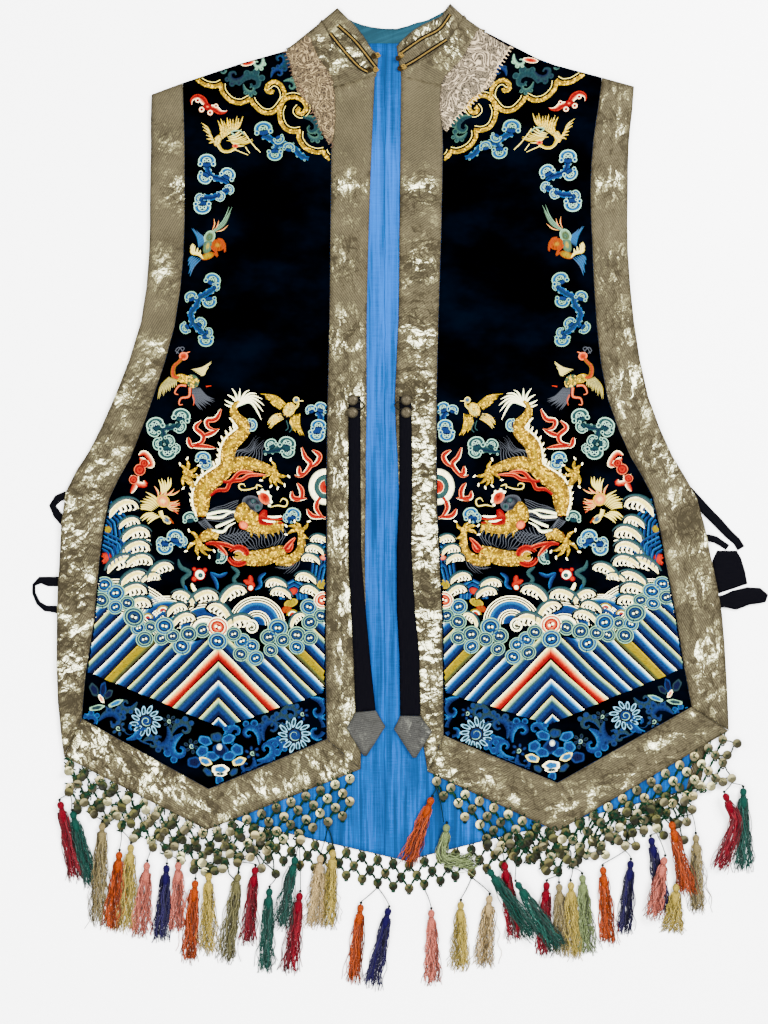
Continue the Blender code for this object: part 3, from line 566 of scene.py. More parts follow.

# %% [markdown]
# The bands are a silk woven with strips of silvered paper. It shows a fine diagonal twill, tiny
# bright flecks where the strips catch the light, and wide broken glints along creases. The twill is
# a wave across the weave coordinates. Flecks and glints are painted highlights in the base colour:
# noise that is stretched, cut off hard and strengthened where the cloth is crumpled. Painted shade
# goes with them: deep brown in the low places of that noise, along thin dark creases, in the troughs
# of the creases and near the rims, while their ridges get painted highlight.

# %% Silver brocade
def brocade_finish(name, deep, dark, light, silver, glint, gain=1.0):
    finish = Finish(name)
    weave = finish.weave()
    along, across, _ = finish.parts(weave)
    crinkle_and_glint = finish.value("crinkle_and_glint") * gain
    fold_shading = finish.value("fold_shading")
    wander = finish.noise(weave, 60, 2)
    turn = along * (2 * math.pi / 0.0023) + wander * 5.0
    twill = turn.sum("SINE", turn)
    thread = finish.threads(weave, 220, 1500, 3, 0.6)
    cloudy = finish.noise(weave, 24, 3, 0.55)
    broken = finish.threads(weave, 900, 420, 3, 0.65)
    drift = finish.node("ShaderNodeTexNoise", {}, {"Vector": weave, "Scale": 45.0, "Detail": 4.0}, 1)
    bent = finish.node("ShaderNodeVectorMath", {"operation": "MULTIPLY_ADD"},
                       {0: drift, 1: (0.02, 0.02, 0.0), 2: weave})
    slanted = finish.node("ShaderNodeVectorRotate", {"rotation_type": "Z_AXIS"},
                          {"Vector": bent, "Angle": 0.5})
    large = finish.facets(finish.stretched(slanted, 3.0, 1.0), 46.0)
    small = finish.facets(finish.stretched(slanted, 2.6, 1.0), 150.0)
    # Wide bands of painted light and shade, as from large folds; they feed the bump as well.
    broad_fold_shading = finish.noise(finish.stretched(weave, 0.5, 2.0), 20, 3, 0.55, 0.5)
    # Thin dark creases: a dip in the bump and painted shade in the colour.
    sharp = finish.edges(finish.stretched(bent, 1.0, 2.0), 64.0)
    crease_dip_and_shade = finish.ramp(sharp, 0.0, 0.09, 1.0, 0.0)
    foil = (large - 0.5) * 0.5 + (small - 0.5) * 0.5 + (broad_fold_shading - 0.5) * 1.2 + (broken - 0.5) * 0.8
    # The level sets the painted light: the foil noise, the crumple and the ridges raise it, troughs and the
    # thin creases lower it.
    level = foil * (crinkle_and_glint * 1.0 + 0.16) + fold_shading * 0.2 + crinkle_and_glint * crinkle_and_glint * crinkle_and_glint * 0.13
    level = level + (broken - 0.5) * 0.34 + 0.41
    level = level - crease_dip_and_shade * (crinkle_and_glint + 0.1) * 0.3
    body = finish.ramp(thread * 0.8 + twill * 0.17 + cloudy * 0.6, 0.4, 1.1)
    colour = finish.mix(body, dye(dark), dye(light))
    # Low levels turn deep brown as painted shade; high ones turn silver as painted sheen and near-white as
    # painted glints.
    colour = finish.mix(finish.ramp(level, 0.36, 0.08), colour, dye(deep))
    colour = finish.mix(finish.ramp(level, 0.46, 0.72), colour, dye(silver))
    colour = finish.mix(finish.ramp(level, 0.64, 0.88), colour, dye(glint))
    finish.set(Base_Color=colour, Roughness=0.6, Specular_IOR_Level=0.03)
    return finish.relief((foil * 2.0 - crease_dip_and_shade) * (crinkle_and_glint + 0.12) + thread * 0.12 + twill * 0.05, 0.6, 0.9)


# Tones of each brocade: deep brown painted shade, dark and light cloth, silver painted sheen and near-white
# painted glint.
BROCADE = brocade_finish("silver_brocade", (15, 12, 6.1), (19, 16, 8.8), (52, 43, 23),
                         (150, 136, 62), (950, 950, 626))
TIP_BROCADE = brocade_finish("grey_brocade", (10.0, 10.0, 8.7), (14, 14, 13), (29, 29, 26), (57, 58, 48),
                             (111, 113, 95), 0.5)
print("brocade finish:", len(BROCADE.node_tree.nodes), "nodes")

# %% [markdown]
# The ground of the fronts is black silk satin. It is almost black, with a faint blue sheen that is
# painted into its colour in large random patches.

# %% Satin, lining, lace and ribbon
def satin_finish():
    finish = Finish("black_satin")
    weave = finish.weave()
    painted_sheen_patches = finish.noise(finish.stretched(weave, 1.0, 0.6), 14, 4, 0.6)
    thread = finish.threads(weave, 300, 1600, 2)
    # Painted sheen: where the large noise is high, the black turns a little blue.
    colour = finish.mix(finish.ramp(painted_sheen_patches, 0.42, 0.75), dye((0.0, 0.0, 0.1)), dye((0.1, 0.7, 2.2)))
    finish.set(Base_Color=colour, Roughness=0.55, Specular_IOR_Level=0.0)
    return finish.relief(thread, 0.05, 0.4)


def cotton_finish(name, dark, light, seams_and_fold_shade_lines):
    finish = Finish(name)
    weave = finish.weave()
    slub = finish.threads(weave, 40, 1100, 3, 0.6)
    cross = finish.threads(weave, 1100, 60, 2, 0.5)
    faded = finish.noise(weave, 16, 3, 0.6)
    drawn = finish.threads(weave, 7, 190, 4, 0.62, 0.4)
    place, upward, _ = finish.parts(finish.place())
    height = finish.ramp(upward, -0.3, 0.4, -0.12, 0.14) - finish.ramp(upward, 0.36, 0.5, 0.0, 0.36)
    tone = finish.ramp(slub * 0.25 + cross * 0.25 + faded * 0.3 + drawn * 1.3 + height, 0.72, 1.4)
    colour = finish.mix(tone, dye(dark), dye(light))
    # Dark lines down the lining: its seams, and painted shade along its long upright folds.
    for where, width, strength in seams_and_fold_shade_lines:
        gap = (place - where * MM).sum("ABSOLUTE", place - where * MM + (faded - 0.5) * 0.004)
        line = finish.ramp(gap, 0.0, width * MM, strength, 0.0)
        colour = finish.mix(line, colour, dye([value * 0.45 for value in dark]))
    finish.set(Base_Color=colour, Roughness=0.85, Specular_IOR_Level=0.0)
    return finish.relief(slub + cross, 0.12, 0.5)


def lace_finish(name, ground, thread, size, width):
    """Fine looping threads on a net: contour lines of a wandering noise look like crochet."""
    finish = Finish(name)
    weave = finish.weave()
    wander = finish.noise(weave, size, 2, 0.5, 1.4) * 7.0
    loop = wander.sum("FRACT", wander)
    thick = finish.ramp((loop - 0.5).sum("ABSOLUTE", loop - 0.5), 0.04, width, 1.0, 0.0)
    net = finish.edges(weave, 380.0)
    mesh = finish.ramp(net, 0.03, 0.2, 1.0, 0.0)
    worn = finish.noise(weave, 30, 3)
    cover = thick * finish.ramp(worn, 0.3, 0.6, 0.6, 1.0) + mesh * 0.22
    cover = cover.sum("MINIMUM", cover, 1.0)
    colour = finish.mix(cover, dye(ground), dye(thread))
    finish.set(Base_Color=colour, Roughness=0.6, Specular_IOR_Level=0.02)
    return finish.relief(cover, 0.35, 0.9)


def ribbon_finish():
    finish = Finish("black_ribbon")
    weave = finish.weave()
    rib = finish.threads(weave, 80, 1400, 2)
    colour = finish.mix(rib, dye((0.0, 0.0, 0.6)), dye((1.3, 1.2, 1.8)))
    finish.set(Base_Color=colour, Roughness=0.7, Specular_IOR_Level=0.01)
    return finish.relief(rib, 0.1, 0.6)


SATIN = satin_finish()
# The lining's dark lines, by x, width and strength: seams, and painted shade along folds.
LINING = cotton_finish("blue_cotton", (2.1, 16, 54), (0.2, 52, 241),
                       ((-17, 0.7, 0.9), (-9, 0.5, 0.35), (-26, 0.5, 0.35), (-60, 0.5, 0.3), (66, 0.5, 0.3)))
COLLAR_LINING = cotton_finish("teal_cotton", (4.8, 17, 25), (8.9, 42, 63), ((-8, 0.6, 0.4),))
LACE_LEFT = lace_finish("rose_lace", (15, 11, 7.5), (180, 128, 61), 62, 0.22)
LACE_RIGHT = lace_finish("white_lace", (16, 14, 10), (299, 230, 145), 50, 0.2)
RIBBON = ribbon_finish()
print("satin finish:", len(SATIN.node_tree.nodes), "nodes")

# %% [markdown]
# Now every cut piece is made from its solid. Each row gives the grain in degrees, the pitch of the
# net, the CAD piece, its finish and what the piece lies on.

# %% Cutting the cloth
FINISHES = {
    "satin": (SATIN, "satin"), "brocade": (BROCADE, "brocade"), "tip": (TIP_BROCADE, "brocade"),
    "blue": (LINING, "lining"), "teal": (COLLAR_LINING, "collar_lining"), "rose": (LACE_LEFT, "lace"),
    "white": (LACE_RIGHT, "lace"), "ribbon": (RIBBON, "ribbon")}
CUTS = table("""
90 12 back_panel satin floor; 150 8 back_armhole_band_left brocade floor;
30 8 back_armhole_band_right brocade floor; 150 8 back_hem_band brocade floor;
90 7 back_lining blue back_panel; 20 4 collar_back teal floor;
90 6 front_left satin back_lining; 90 6 front_right satin back_lining;
150 4.5 armhole_band_left brocade back_lining; 30 4.5 armhole_band_right brocade back_lining;
35 4.5 front_band_left brocade back_lining; 125 4.5 front_band_right brocade back_lining;
60 4.5 hem_band_left brocade back_lining; 120 4.5 hem_band_right brocade back_lining;
120 4 neck_piece_left brocade back_lining; 60 4 neck_piece_right brocade back_lining;
140 3 collar_left brocade back_lining; 40 3 collar_right brocade back_lining;
20 2.5 lace_left rose front_left; 40 2.5 lace_right white front_right;
90 4 strap_left ribbon front_band_left; 90 4 strap_right ribbon front_band_right;
100 3 strap_tip_left tip front_band_left; 80 3 strap_tip_right tip front_band_right;
0 3 ribbon_left_upper ribbon floor; 0 3 ribbon_left_lower ribbon floor;
0 3 ribbon_right_upper ribbon floor; 0 3 ribbon_right_middle ribbon floor;
0 3 ribbon_right_wide ribbon floor; 0 3 ribbon_right_tail ribbon floor""")
TUCKED = {"neck": ("collar_", "front_band_", "lace_"), "lace": ("neck_piece_", "front_band_", "collar_")}
NO_CREASES = np.zeros((0, 6))

bpy.ops.mesh.primitive_plane_add(size=8, location=(0, 0, 0))
floor = bpy.context.object
floor.name = "floor"
for grain, pitch, words in CUTS:
    name, finish, under = words.split()
    material, slot = FINISHES[finish]
    kind = name.split("_")[0]
    creases = NO_CREASES if kind in ("back", "ribbon") else CREASES_FRONT
    if name in ("back_lining", "collar_back"):
        creases = CREASES_LINING
    neighbours = [part + name.split("_")[-1] for part in TUCKED.get(kind, ())]
    if name == "collar_back":
        neighbours = ["back_lining"]
    rests_on = [under if under == "floor" else "cloth_" + under]
    cloth_shell(name, material, slot, grain, pitch, creases,
                roll=0.1 if kind in ("back", "ribbon") else 0.45, rounds=2 if kind == "ribbon" else 24,
                thickness=THIN_SHELL if kind in ("ribbon", "strap", "lace") else SHELL, neighbours=neighbours)

# %% [markdown]
# The photo was taken from straight above in even studio light. Three area lights stand round the vest,
# so that stitches, creases and metal throw short soft shadows. A camera high up with a long lens keeps
# perspective small, as in the photo.

# %% Camera, floor and studio light
CAMERA_HEIGHT = 3.0
FRAME_HEIGHT = 1.1469
FRAME_CENTRE = (-0.0179, -0.0187)
paper = Finish("pale_floor")
grain_noise = paper.noise(paper.place(), 3.0, 2)
paper.set(Base_Color=paper.mix(grain_noise, (0.94, 0.94, 0.945), (0.97, 0.965, 0.965)), Roughness=0.9)
floor.data.materials.append(paper.material)

lens = bpy.data.cameras.new("camera")
lens.sensor_width = 36.0
lens.lens = 36.0 * CAMERA_HEIGHT / FRAME_HEIGHT
camera = placed("camera", lens)
camera.location = (*FRAME_CENTRE, CAMERA_HEIGHT)
bpy.context.scene.camera = camera

LIGHTS = (
    ("key", (1.3, 1.0, 1.7), 1.2, 276.0),
    ("fill", (-1.6, 0.2, 1.8), 1.6, 156.0),
    ("front", (0.2, -1.7, 1.8), 1.6, 132.0),
)
for name, place, size, power in LIGHTS:
    lamp = bpy.data.lights.new(name, "AREA")
    lamp.size = size
    lamp.energy = power
    light = placed(name, lamp)
    light.location = place
    light.rotation_euler = (-Vector(place)).to_track_quat("-Z", "Y").to_euler()
sky = bpy.data.worlds.new("studio")
sky.use_nodes = True
sky.node_tree.nodes["Background"].inputs[0].default_value = (1.0, 1.0, 1.0, 1.0)
sky.node_tree.nodes["Background"].inputs[1].default_value = 1.56
bpy.context.scene.world = sky
print("lens:", round(lens.lens, 1), "mm")

# %% [markdown]
# Cords, silk strands and stitches are all many small things of one kind. A `Bundle` gathers their
# points, faces and thread colours, and makes one mesh of them. Round threads are tubes of a few
# sides along a path.

# %% Bundles of threads
class Bundle:
    """Points, faces, colours and stitch coordinates of many small pieces, made into one mesh."""

    def __init__(self):
        self.points = []
        self.faces = []
        self.colours = []
        self.stitches = []
        self.count = 0

    def add(self, points, faces, colours, stitches=None):
        points = np.asarray(points, float).reshape(-1, 3)
        colours = np.broadcast_to(np.asarray(colours, float).reshape(-1, 3), points.shape)
        self.points.append(points)
        self.colours.append(colours)
        self.stitches.append(np.zeros((len(points), 2)) if stitches is None else stitches)
        for group in faces:
            self.faces.append(np.asarray(group) + self.count)
        self.count += len(points)

    def tube(self, path, radii, sides, colour):
        """One round thread; colour is a base colour."""
        points, faces = tubes([path], radii, sides)
        self.add(points, faces, colour)

    def make(self, name, material, replaced=()):
        mesh = bpy.data.meshes.new(name)
        faces = [tuple(face) for group in self.faces for face in group.tolist()]
        mesh.from_pydata(np.concatenate(self.points).tolist(), [], faces)
        colours = np.concatenate(self.colours)
        layer = mesh.color_attributes.new("thread", "FLOAT_COLOR", "POINT")
        layer.data.foreach_set("color", np.concatenate([colours, np.ones((len(colours), 1))], axis=1).ravel())
        add_weave(mesh, np.concatenate(self.stitches))
        mesh.shade_smooth()
        mesh.materials.append(material)
        piece = placed(name, mesh)
        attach(piece, "root")
        if replaced:
            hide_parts(*replaced)
        print(f"{name}: {len(faces)} faces")
        return piece


def tubes(paths, radii, sides):
    """Points and faces of round threads, one along each path of millimetre points x, down, lift."""
    paths = np.asarray(paths, float)
    paths = world(paths[..., 0], paths[..., 1], paths[..., 2])
    number, length = paths.shape[:2]
    radii = np.broadcast_to(np.asarray(radii, float), (number, length)) * MM
    run = np.gradient(paths, axis=1)
    run /= np.linalg.norm(run, axis=2, keepdims=True) + 1e-12
    side = np.cross(run, (0.0, 0.0, 1.0))
    size = np.linalg.norm(side, axis=2, keepdims=True)
    side = np.where(size > 0.05, side / np.maximum(size, 1e-9), (1.0, 0.0, 0.0))
    over = np.cross(side, run)
    turns = np.arange(sides) * 2 * math.pi / sides
    ring = (np.cos(turns)[:, None] * side[:, :, None] + np.sin(turns)[:, None] * over[:, :, None])
    points = paths[:, :, None] + ring * radii[:, :, None, None]
    index = np.arange(number * length * sides).reshape(number, length, sides)
    beside = np.roll(index, -1, axis=2)
    quads = np.stack([index[:, :-1], beside[:, :-1], beside[:, 1:], index[:, 1:]], axis=-1)
    caps = [index[:, 0, ::-1], index[:, -1]]
    return points.reshape(-1, 3), [quads.reshape(-1, 4)] + caps


def per_point(colours, length, sides):
    """One colour a thread, repeated for each of its points."""
    return np.repeat(np.asarray(colours, float), length * sides, axis=0)


# %% [markdown]
# Under each hem hangs a net: rows of thin dished discs of white metal, each with a small hole,
# knotted on green cord. The knots follow the same rule as the solid: staggered rows along the hem's
# edge.

# %% The nets' knots
HEMS = {
    "net_left": ((-376, 843), (-216, 925), (-44, 857)),
    "net_right": ((31, 860), (176, 927), (368, 814)),
    "net_back": ((-370, 842), (-174, 918), (-84, 939), (6, 960), (101, 936), (224, 907), (336, 878)),
}
NETS = {
    "net_left": (-369, -56, 19, 3.3, 1.8, (0, 1, 0, 1), (38, 37, 38, 37)),
    "net_right": (41, 361, 20, 3.3, 1.8, (0, 1, 4, 7), (40, 39, 40, 39)),
    "net_back": (-165, 325, 28, 0.0, 0.0, (0, 1, 2), (56, 55, 54)),
}
DISC_RADIUS = 5.3
NET_SEAT = 0.5
NET_ROW_PITCH = 12.8


def hem_at(net, x):
    points = HEMS[net]
    for start, end in zip(points, points[1:]):
        if x <= end[0]:
            break
    return start[1] + (end[1] - start[1]) * (x - start[0]) / (end[0] - start[0])


def knots_of(net):
    """Centre of every disc of one net, by row and half pitch."""
    first, last, columns, _, _, starts, ends = NETS[net]
    half_pitch = (last - first) / columns / 2
    knots = {}
    for row, (start, end) in enumerate(zip(starts, ends)):
        for step in range(start, end + 1, 2):
            x = first + step * half_pitch
            slack = 0.45 * math.sin(step * 1.7 + row * 2.1) if row else 0.0
            down = hem_at(net, x) + DISC_RADIUS + NET_SEAT + row * NET_ROW_PITCH + slack
            knots[(row, step)] = (x + slack, down)
    return knots


def net_lift(net, x, down):
    """Height of a net's underside: on the lining by the hem, lower where it hangs past the back."""
    _, _, _, near, far, _, _ = NETS[net]
    past = down - max(hem_at(net, x), hem_at("net_back", x))
    return near + (far - near) * min(max((past - 10) / 16, 0), 1)


print("knots of each net:", [len(knots_of(net)) for net in NETS])

# %% [markdown]
# Each knot of a net holds a small metal disc with a raised rim. To model every one by hand would be slow,
# so one disc is made by extruding and insetting a face, and its points are copied to every knot with a
# small tilt. The cords run from disc to disc and are slack where the net is bunched.

# %% One disc, and a copy of it for every knot
def disc_form():
    """A shallow dished disc with a raised rim and a small hole, modelled once round the world's middle."""
    bpy.ops.object.select_all(action="DESELECT")
    bpy.ops.mesh.primitive_circle_add(vertices=14, radius=DISC_RADIUS * MM, fill_type="NGON")
    disc = bpy.context.object
    bpy.ops.object.mode_set(mode="EDIT")
    bpy.ops.mesh.extrude_region_move(TRANSFORM_OT_translate={"value": (0, 0, 0.5 * MM)})
    for inset, rise in ((0.6, 0.4), (1.0, -0.35), (1.7, -0.1), (1.2, -0.2)):
        bpy.ops.mesh.inset(thickness=inset * MM)
        bpy.ops.transform.translate(value=(0, 0, rise * MM))
    bpy.ops.object.mode_set(mode="OBJECT")
    points = np.array([tuple(vertex.co) for vertex in disc.data.vertices])
    faces = [tuple(face.vertices) for face in disc.data.polygons]
    bpy.data.objects.remove(disc, do_unlink=True)
    return points, faces


DISC_POINTS, DISC_FACES = disc_form()
print("one disc:", len(DISC_FACES), "faces")
# Disc tones: silver ones for lit discs, and darker ones painted for discs that lie in shade.
SILVER_DISC = ((228, 211, 101), (104, 94, 46), (52, 45, 21), (150, 125, 56), (28, 25, 11))
SHADED_DISC = ((15, 15, 4.3), (7.0, 8.0, 2.1), (23, 22, 6.3), (5.0, 5.9, 1.6), (30, 26, 8.7))
LOOSE_DISCS = {"net_right": places("""
348,876 361,871 371,867 334,874 328,887 327,902 321,916 318,936 311,918 295,931 287,923 273,925 264,943
252,943 230,953 218,954 199,959 164,971 366,841 377,828"""),
    "net_left": places("""
-184,986 -155,968 -139,974 -218,972 -207,971""")}


def wavy(start, end, sway, lift, count=7, turns=3.0):
    """A slack cord between two places, as points x, down, lift."""
    line = np.linspace(start, end, count)
    run = (line[-1] - line[0]) / (np.linalg.norm(line[-1] - line[0]) + 1e-9)
    marks = np.linspace(0, turns * math.pi, count)
    heights = np.array([lift(*place) for place in line]) + np.cos(marks) * 0.3 * math.copysign(1, sway)
    return np.column_stack([line + (np.sin(marks) * sway)[:, None] * np.array([-run[1], run[0]]), heights])


# %% [markdown]
# One net is made from its knots: discs on them and cords between them. Where the photo shows a net
# bunched, more discs lie near the knots and their cords are slack.

# %% A whole net
def disc_net(net, tones, metal, cord, gathered):
    """Discs on the knots of a net, their cords, and where the net is bunched more discs and slack."""
    discs = Bundle()
    knots = knots_of(net)
    discs_at = [(x, down, 0.0, 0.10) for x, down in knots.values()]
    paths = []

    def lift(x, down):
        return net_lift(net, x, down) + 0.7

    for loose in LOOSE_DISCS.get(net, ()):
        discs_at.append((*loose, 0.3, 0.2))
        for _, near in sorted((math.dist(loose, knot), knot) for knot in knots.values())[:2]:
            paths.append(wavy(near, loose, RNG.uniform(-1.5, 1.5), lift))
    for (row, step), (x, down) in knots.items():
        on_lining = hem_at("net_back", x) > down + 4
        if RNG.uniform() < gathered and not on_lining:
            discs_at.append((x + RNG.uniform(-4, 4), down + RNG.uniform(4, 8), RNG.uniform(0.6, 1.4), 0.3))
        for step_next in (step - 1, step + 1):
            if (row + 1, step_next) in knots:
                for sway in (-0.7, 0.7):
                    paths.append(wavy((x, down), knots[(row + 1, step_next)], sway, lift))
        if row == 0:
            paths += [wavy((x + aside, down - 8), (x, down), 0.5, lift) for aside in (-3, 3)]
        if gathered and not on_lining:
            for _ in range(8):
                start, end = (np.array([x, down]) + RNG.uniform(-7, 7, 2) for _ in range(2))
                paths.append(wavy(start, end, RNG.uniform(-3.5, 3.5), lift, turns=RNG.uniform(0.9, 1.6)))
        turns = np.linspace(0, 2 * math.pi, 7)
        reach = DISC_RADIUS + 0.3
        paths.append(np.column_stack([x + np.cos(turns) * reach * 0.35, down + reach + np.sin(turns) * 1.1,
                                      np.full(7, lift(x, down))]))
    for x, down, higher, slope in discs_at:
        tilt = RNG.normal(0, slope, 2)
        local = DISC_POINTS.copy()
        slant = np.maximum(local[:, 0] * tilt[0] + local[:, 1] * tilt[1], -0.0004)
        local[:, 2] += slant + (0.8 + higher) * MM
        # Painted light: each disc is lighter on the side towards a random direction and darker on the other,
        # with a painted dark rim.
        toward = RNG.uniform(1.2, 2.9)
        lit = (local[:, 0] * math.cos(toward) + local[:, 1] * math.sin(toward)) / (DISC_RADIUS * MM)
        edge = np.hypot(local[:, 0], local[:, 1]) / (DISC_RADIUS * MM)
        # Some discs over the floor take the darker tones, as painted shade.
        in_shade = x < 300 and hem_at("net_back", x) < down + 2 and RNG.uniform() < 0.45
        tone = np.array(dye((SHADED_DISC if in_shade else tones)[RNG.integers(5)]))
        painted_light = (0.34 + 1.7 * np.clip(lit * 2.4 + 0.1, 0, 1)) * np.where(edge > 0.95, 0.45, 1.0)
        discs.add(local + world(x, down, net_lift(net, x, down)), [[face] for face in DISC_FACES],
                  np.minimum(tone * painted_light[:, None], 0.8))
    cords = Bundle()
    points, faces = tubes(paths, 0.85, 4)
    tones = RNG.uniform(0.3, 1.4, (len(paths), 1)) * np.array(dye((2.0, 13, 6.0)))
    cords.add(points, faces, per_point(tones, 7, 4))
    discs.make("discs_" + net, metal, [net])
    cords.make("cords_" + net, cord)


# %% [markdown]
# The discs are plated metal that has dulled, and cords and floss are silk. Every disc and thread
# brings its own colour along as an attribute, so one material serves many colours; on the discs the
# attribute also carries their painted light and shade.

# %% Metal and silk
def metal_finish(name, shine):
    finish = Finish(name)
    place = finish.place()
    tarnish = finish.noise(place, 420, 4, 0.6)
    wear = finish.noise(place, 150, 2)
    colour = finish.mix(finish.ramp(tarnish, 0.4, 0.7) * 0.3, finish.thread(), dye((7.3, 6.0, 2.2)))
    finish.set(Base_Color=colour, Roughness=finish.ramp(wear, 0.3, 0.7, 0.3, 0.5), Metallic=shine,
               Specular_IOR_Level=0.05)
    return finish.relief(tarnish, 0.12, 0.5)


def silk_finish(name, roughness, spacing):
    """Silk floss or cord: its colour comes with the mesh, and fine streaks run along the thread."""
    finish = Finish(name)
    place = finish.place()
    streak = finish.noise(place, spacing, 3, 0.6)
    deep = finish.darker(0.4)
    colour = finish.mix(finish.ramp(streak, 0.35, 0.6), deep, finish.thread())
    finish.set(Base_Color=colour, Roughness=roughness, Specular_IOR_Level=0.02)
    return finish.relief(streak, 0.15, 0.5)


DISC_METAL = metal_finish("white_metal", 0.0)
NET_CORD = silk_finish("net_cord", 0.8, 500)
# The back net takes only the darker tones, as painted shade.
disc_net("net_back", SHADED_DISC, DISC_METAL, NET_CORD, 0.0)
disc_net("net_left", SILVER_DISC, DISC_METAL, NET_CORD, 0.8)
disc_net("net_right", SILVER_DISC, DISC_METAL, NET_CORD, 0.65)

# %% [markdown]
# Forty silk tassels hang on cords from the nets. Each is a wound head with a skirt of crinkled
# floss. The strands are separate thin tubes: they leave the head close together, wander, spread and
# end at uneven lengths, and a few stray out. Every row gives the number of the CAD piece, the head,
# the tip, before it a place on the way if the tassel is bent, the height it lies at, how frizzy its
# silk is, the net and the colour.

# %% Tassels
SILKS = {
    "red": (67, 0.0, 3.3), "teal": (1.7, 22, 16), "tan": (92, 71, 29), "orange": (138, 17, 0.1),
    "gold": (171, 125, 20), "pink": (208, 50, 34), "navy": (2.7, 0.8, 21), "olive": (52, 47, 18),
    "pale_green": (69, 90, 33), "cream": (189, 130, 52),
}
TASSELS = {}
for number, head, *tip_and_bend, rest, frizz, words in table("""
1 -380,895 -362,978 0 0.5 left red; 1 -366,906 -346,986 0 0.6 left teal;
2 -333,919 -338,1030 0 1 left tan; 3 -314,951 -322,1036 0 0.6 left orange;
3 -301,943 -307,1038 0 1 left gold; 4 -283,963 -291,1043 0 0.8 left pink;
5 -261,966 -268,1048 0 0.5 left navy; 5 -248,963 -250,1037 0 0.7 left pink;
6 -229,983 -236,1072 0 0.6 left orange; 6 -214,975 -214,1062 0 1 left gold;
7 -181,976 -196,1070 0 0.9 left olive; 7 -162,968 -170,1051 0 0.6 left red;
8 -146,992 -151,1081 0 0.6 left teal; 9 -117,956 -134,1034 5 0.7 left teal;
9 -112,997 -124,1084 0 0.5 left red; 10 -89,955 -99,1033 0 1.2 left cream;
10 -75,949 -80,1033 0 1 left gold; 11 -44,1010 -53,1094 0 0.5 back orange;
11 -13,1014 -32,1100 0 0.6 back navy; 12 35,1016 36,1096 0 0.7 back pink;
13 35,890 8,962 3 0.5 right orange; 13 52,920 49,956 84,961 3 0.8 right pale_green;
14 68,1007 66,1082 0 1 back gold; 14 100,1000 94,1077 0 1.1 back cream;
15 117,963 129,1047 0 0.6 right red; 15 100,970 150,1045 6 0.7 right teal;
16 131,984 178,1057 6 0.6 right teal; 17 164,985 160,1064 0 0.6 right red;
17 178,987 181,1064 0 1 right tan; 18 191,985 195,1068 0 1 right gold;
18 204,977 211,1062 0 0.9 right pale_green; 19 227,968 235,1052 0 0.6 right orange;
19 258,961 251,1040 0 0.5 right navy; 20 281,935 296,1016 0 0.5 right navy;
20 295,956 281,1023 8 0.8 right pink; 21 303,917 323,995 5 0.6 right orange;
21 331,932 334,1016 0 1 right tan; 22 309,987 304,1040 0 1.1 back gold;
23 363,885 375,918 357,967 7 0.5 right red; 23 384,880 386,969 0 0.7 right teal"""):
    tip, *bend = reversed(tip_and_bend)
    TASSELS.setdefault(number, []).append((head, tip, bend, rest, frizz, *words.split()))
STRANDS = 64
STRAND_POINTS = 15


# %% [markdown]
# Each tassel hangs by a cord from a knot of its net. Its strands leave the head close together and
# drift apart, and the number for frizz says how much they wave.

# %% Floss
def hanging_point(net, rows):
    """Where a tassel's cord is tied: just below the free disc nearest above it."""
    knots = knots_of(net)
    x = sum(row[0][0] for row in rows) / len(rows)
    down = min(row[0][1] for row in rows)
    free = [place for (row, step), place in knots.items()
            if (row + 1, step + 1) not in knots or (row + 1, step - 1) not in knots]
    free = [place for place in free + list(LOOSE_DISCS.get(net, ())) if place[1] < down - 9.3]
    nearest = min(free, key=lambda place: math.hypot(2 * (place[0] - x), place[1] - down))
    return nearest[0], nearest[1] + DISC_RADIUS, net_lift(net, *nearest) + 1.0


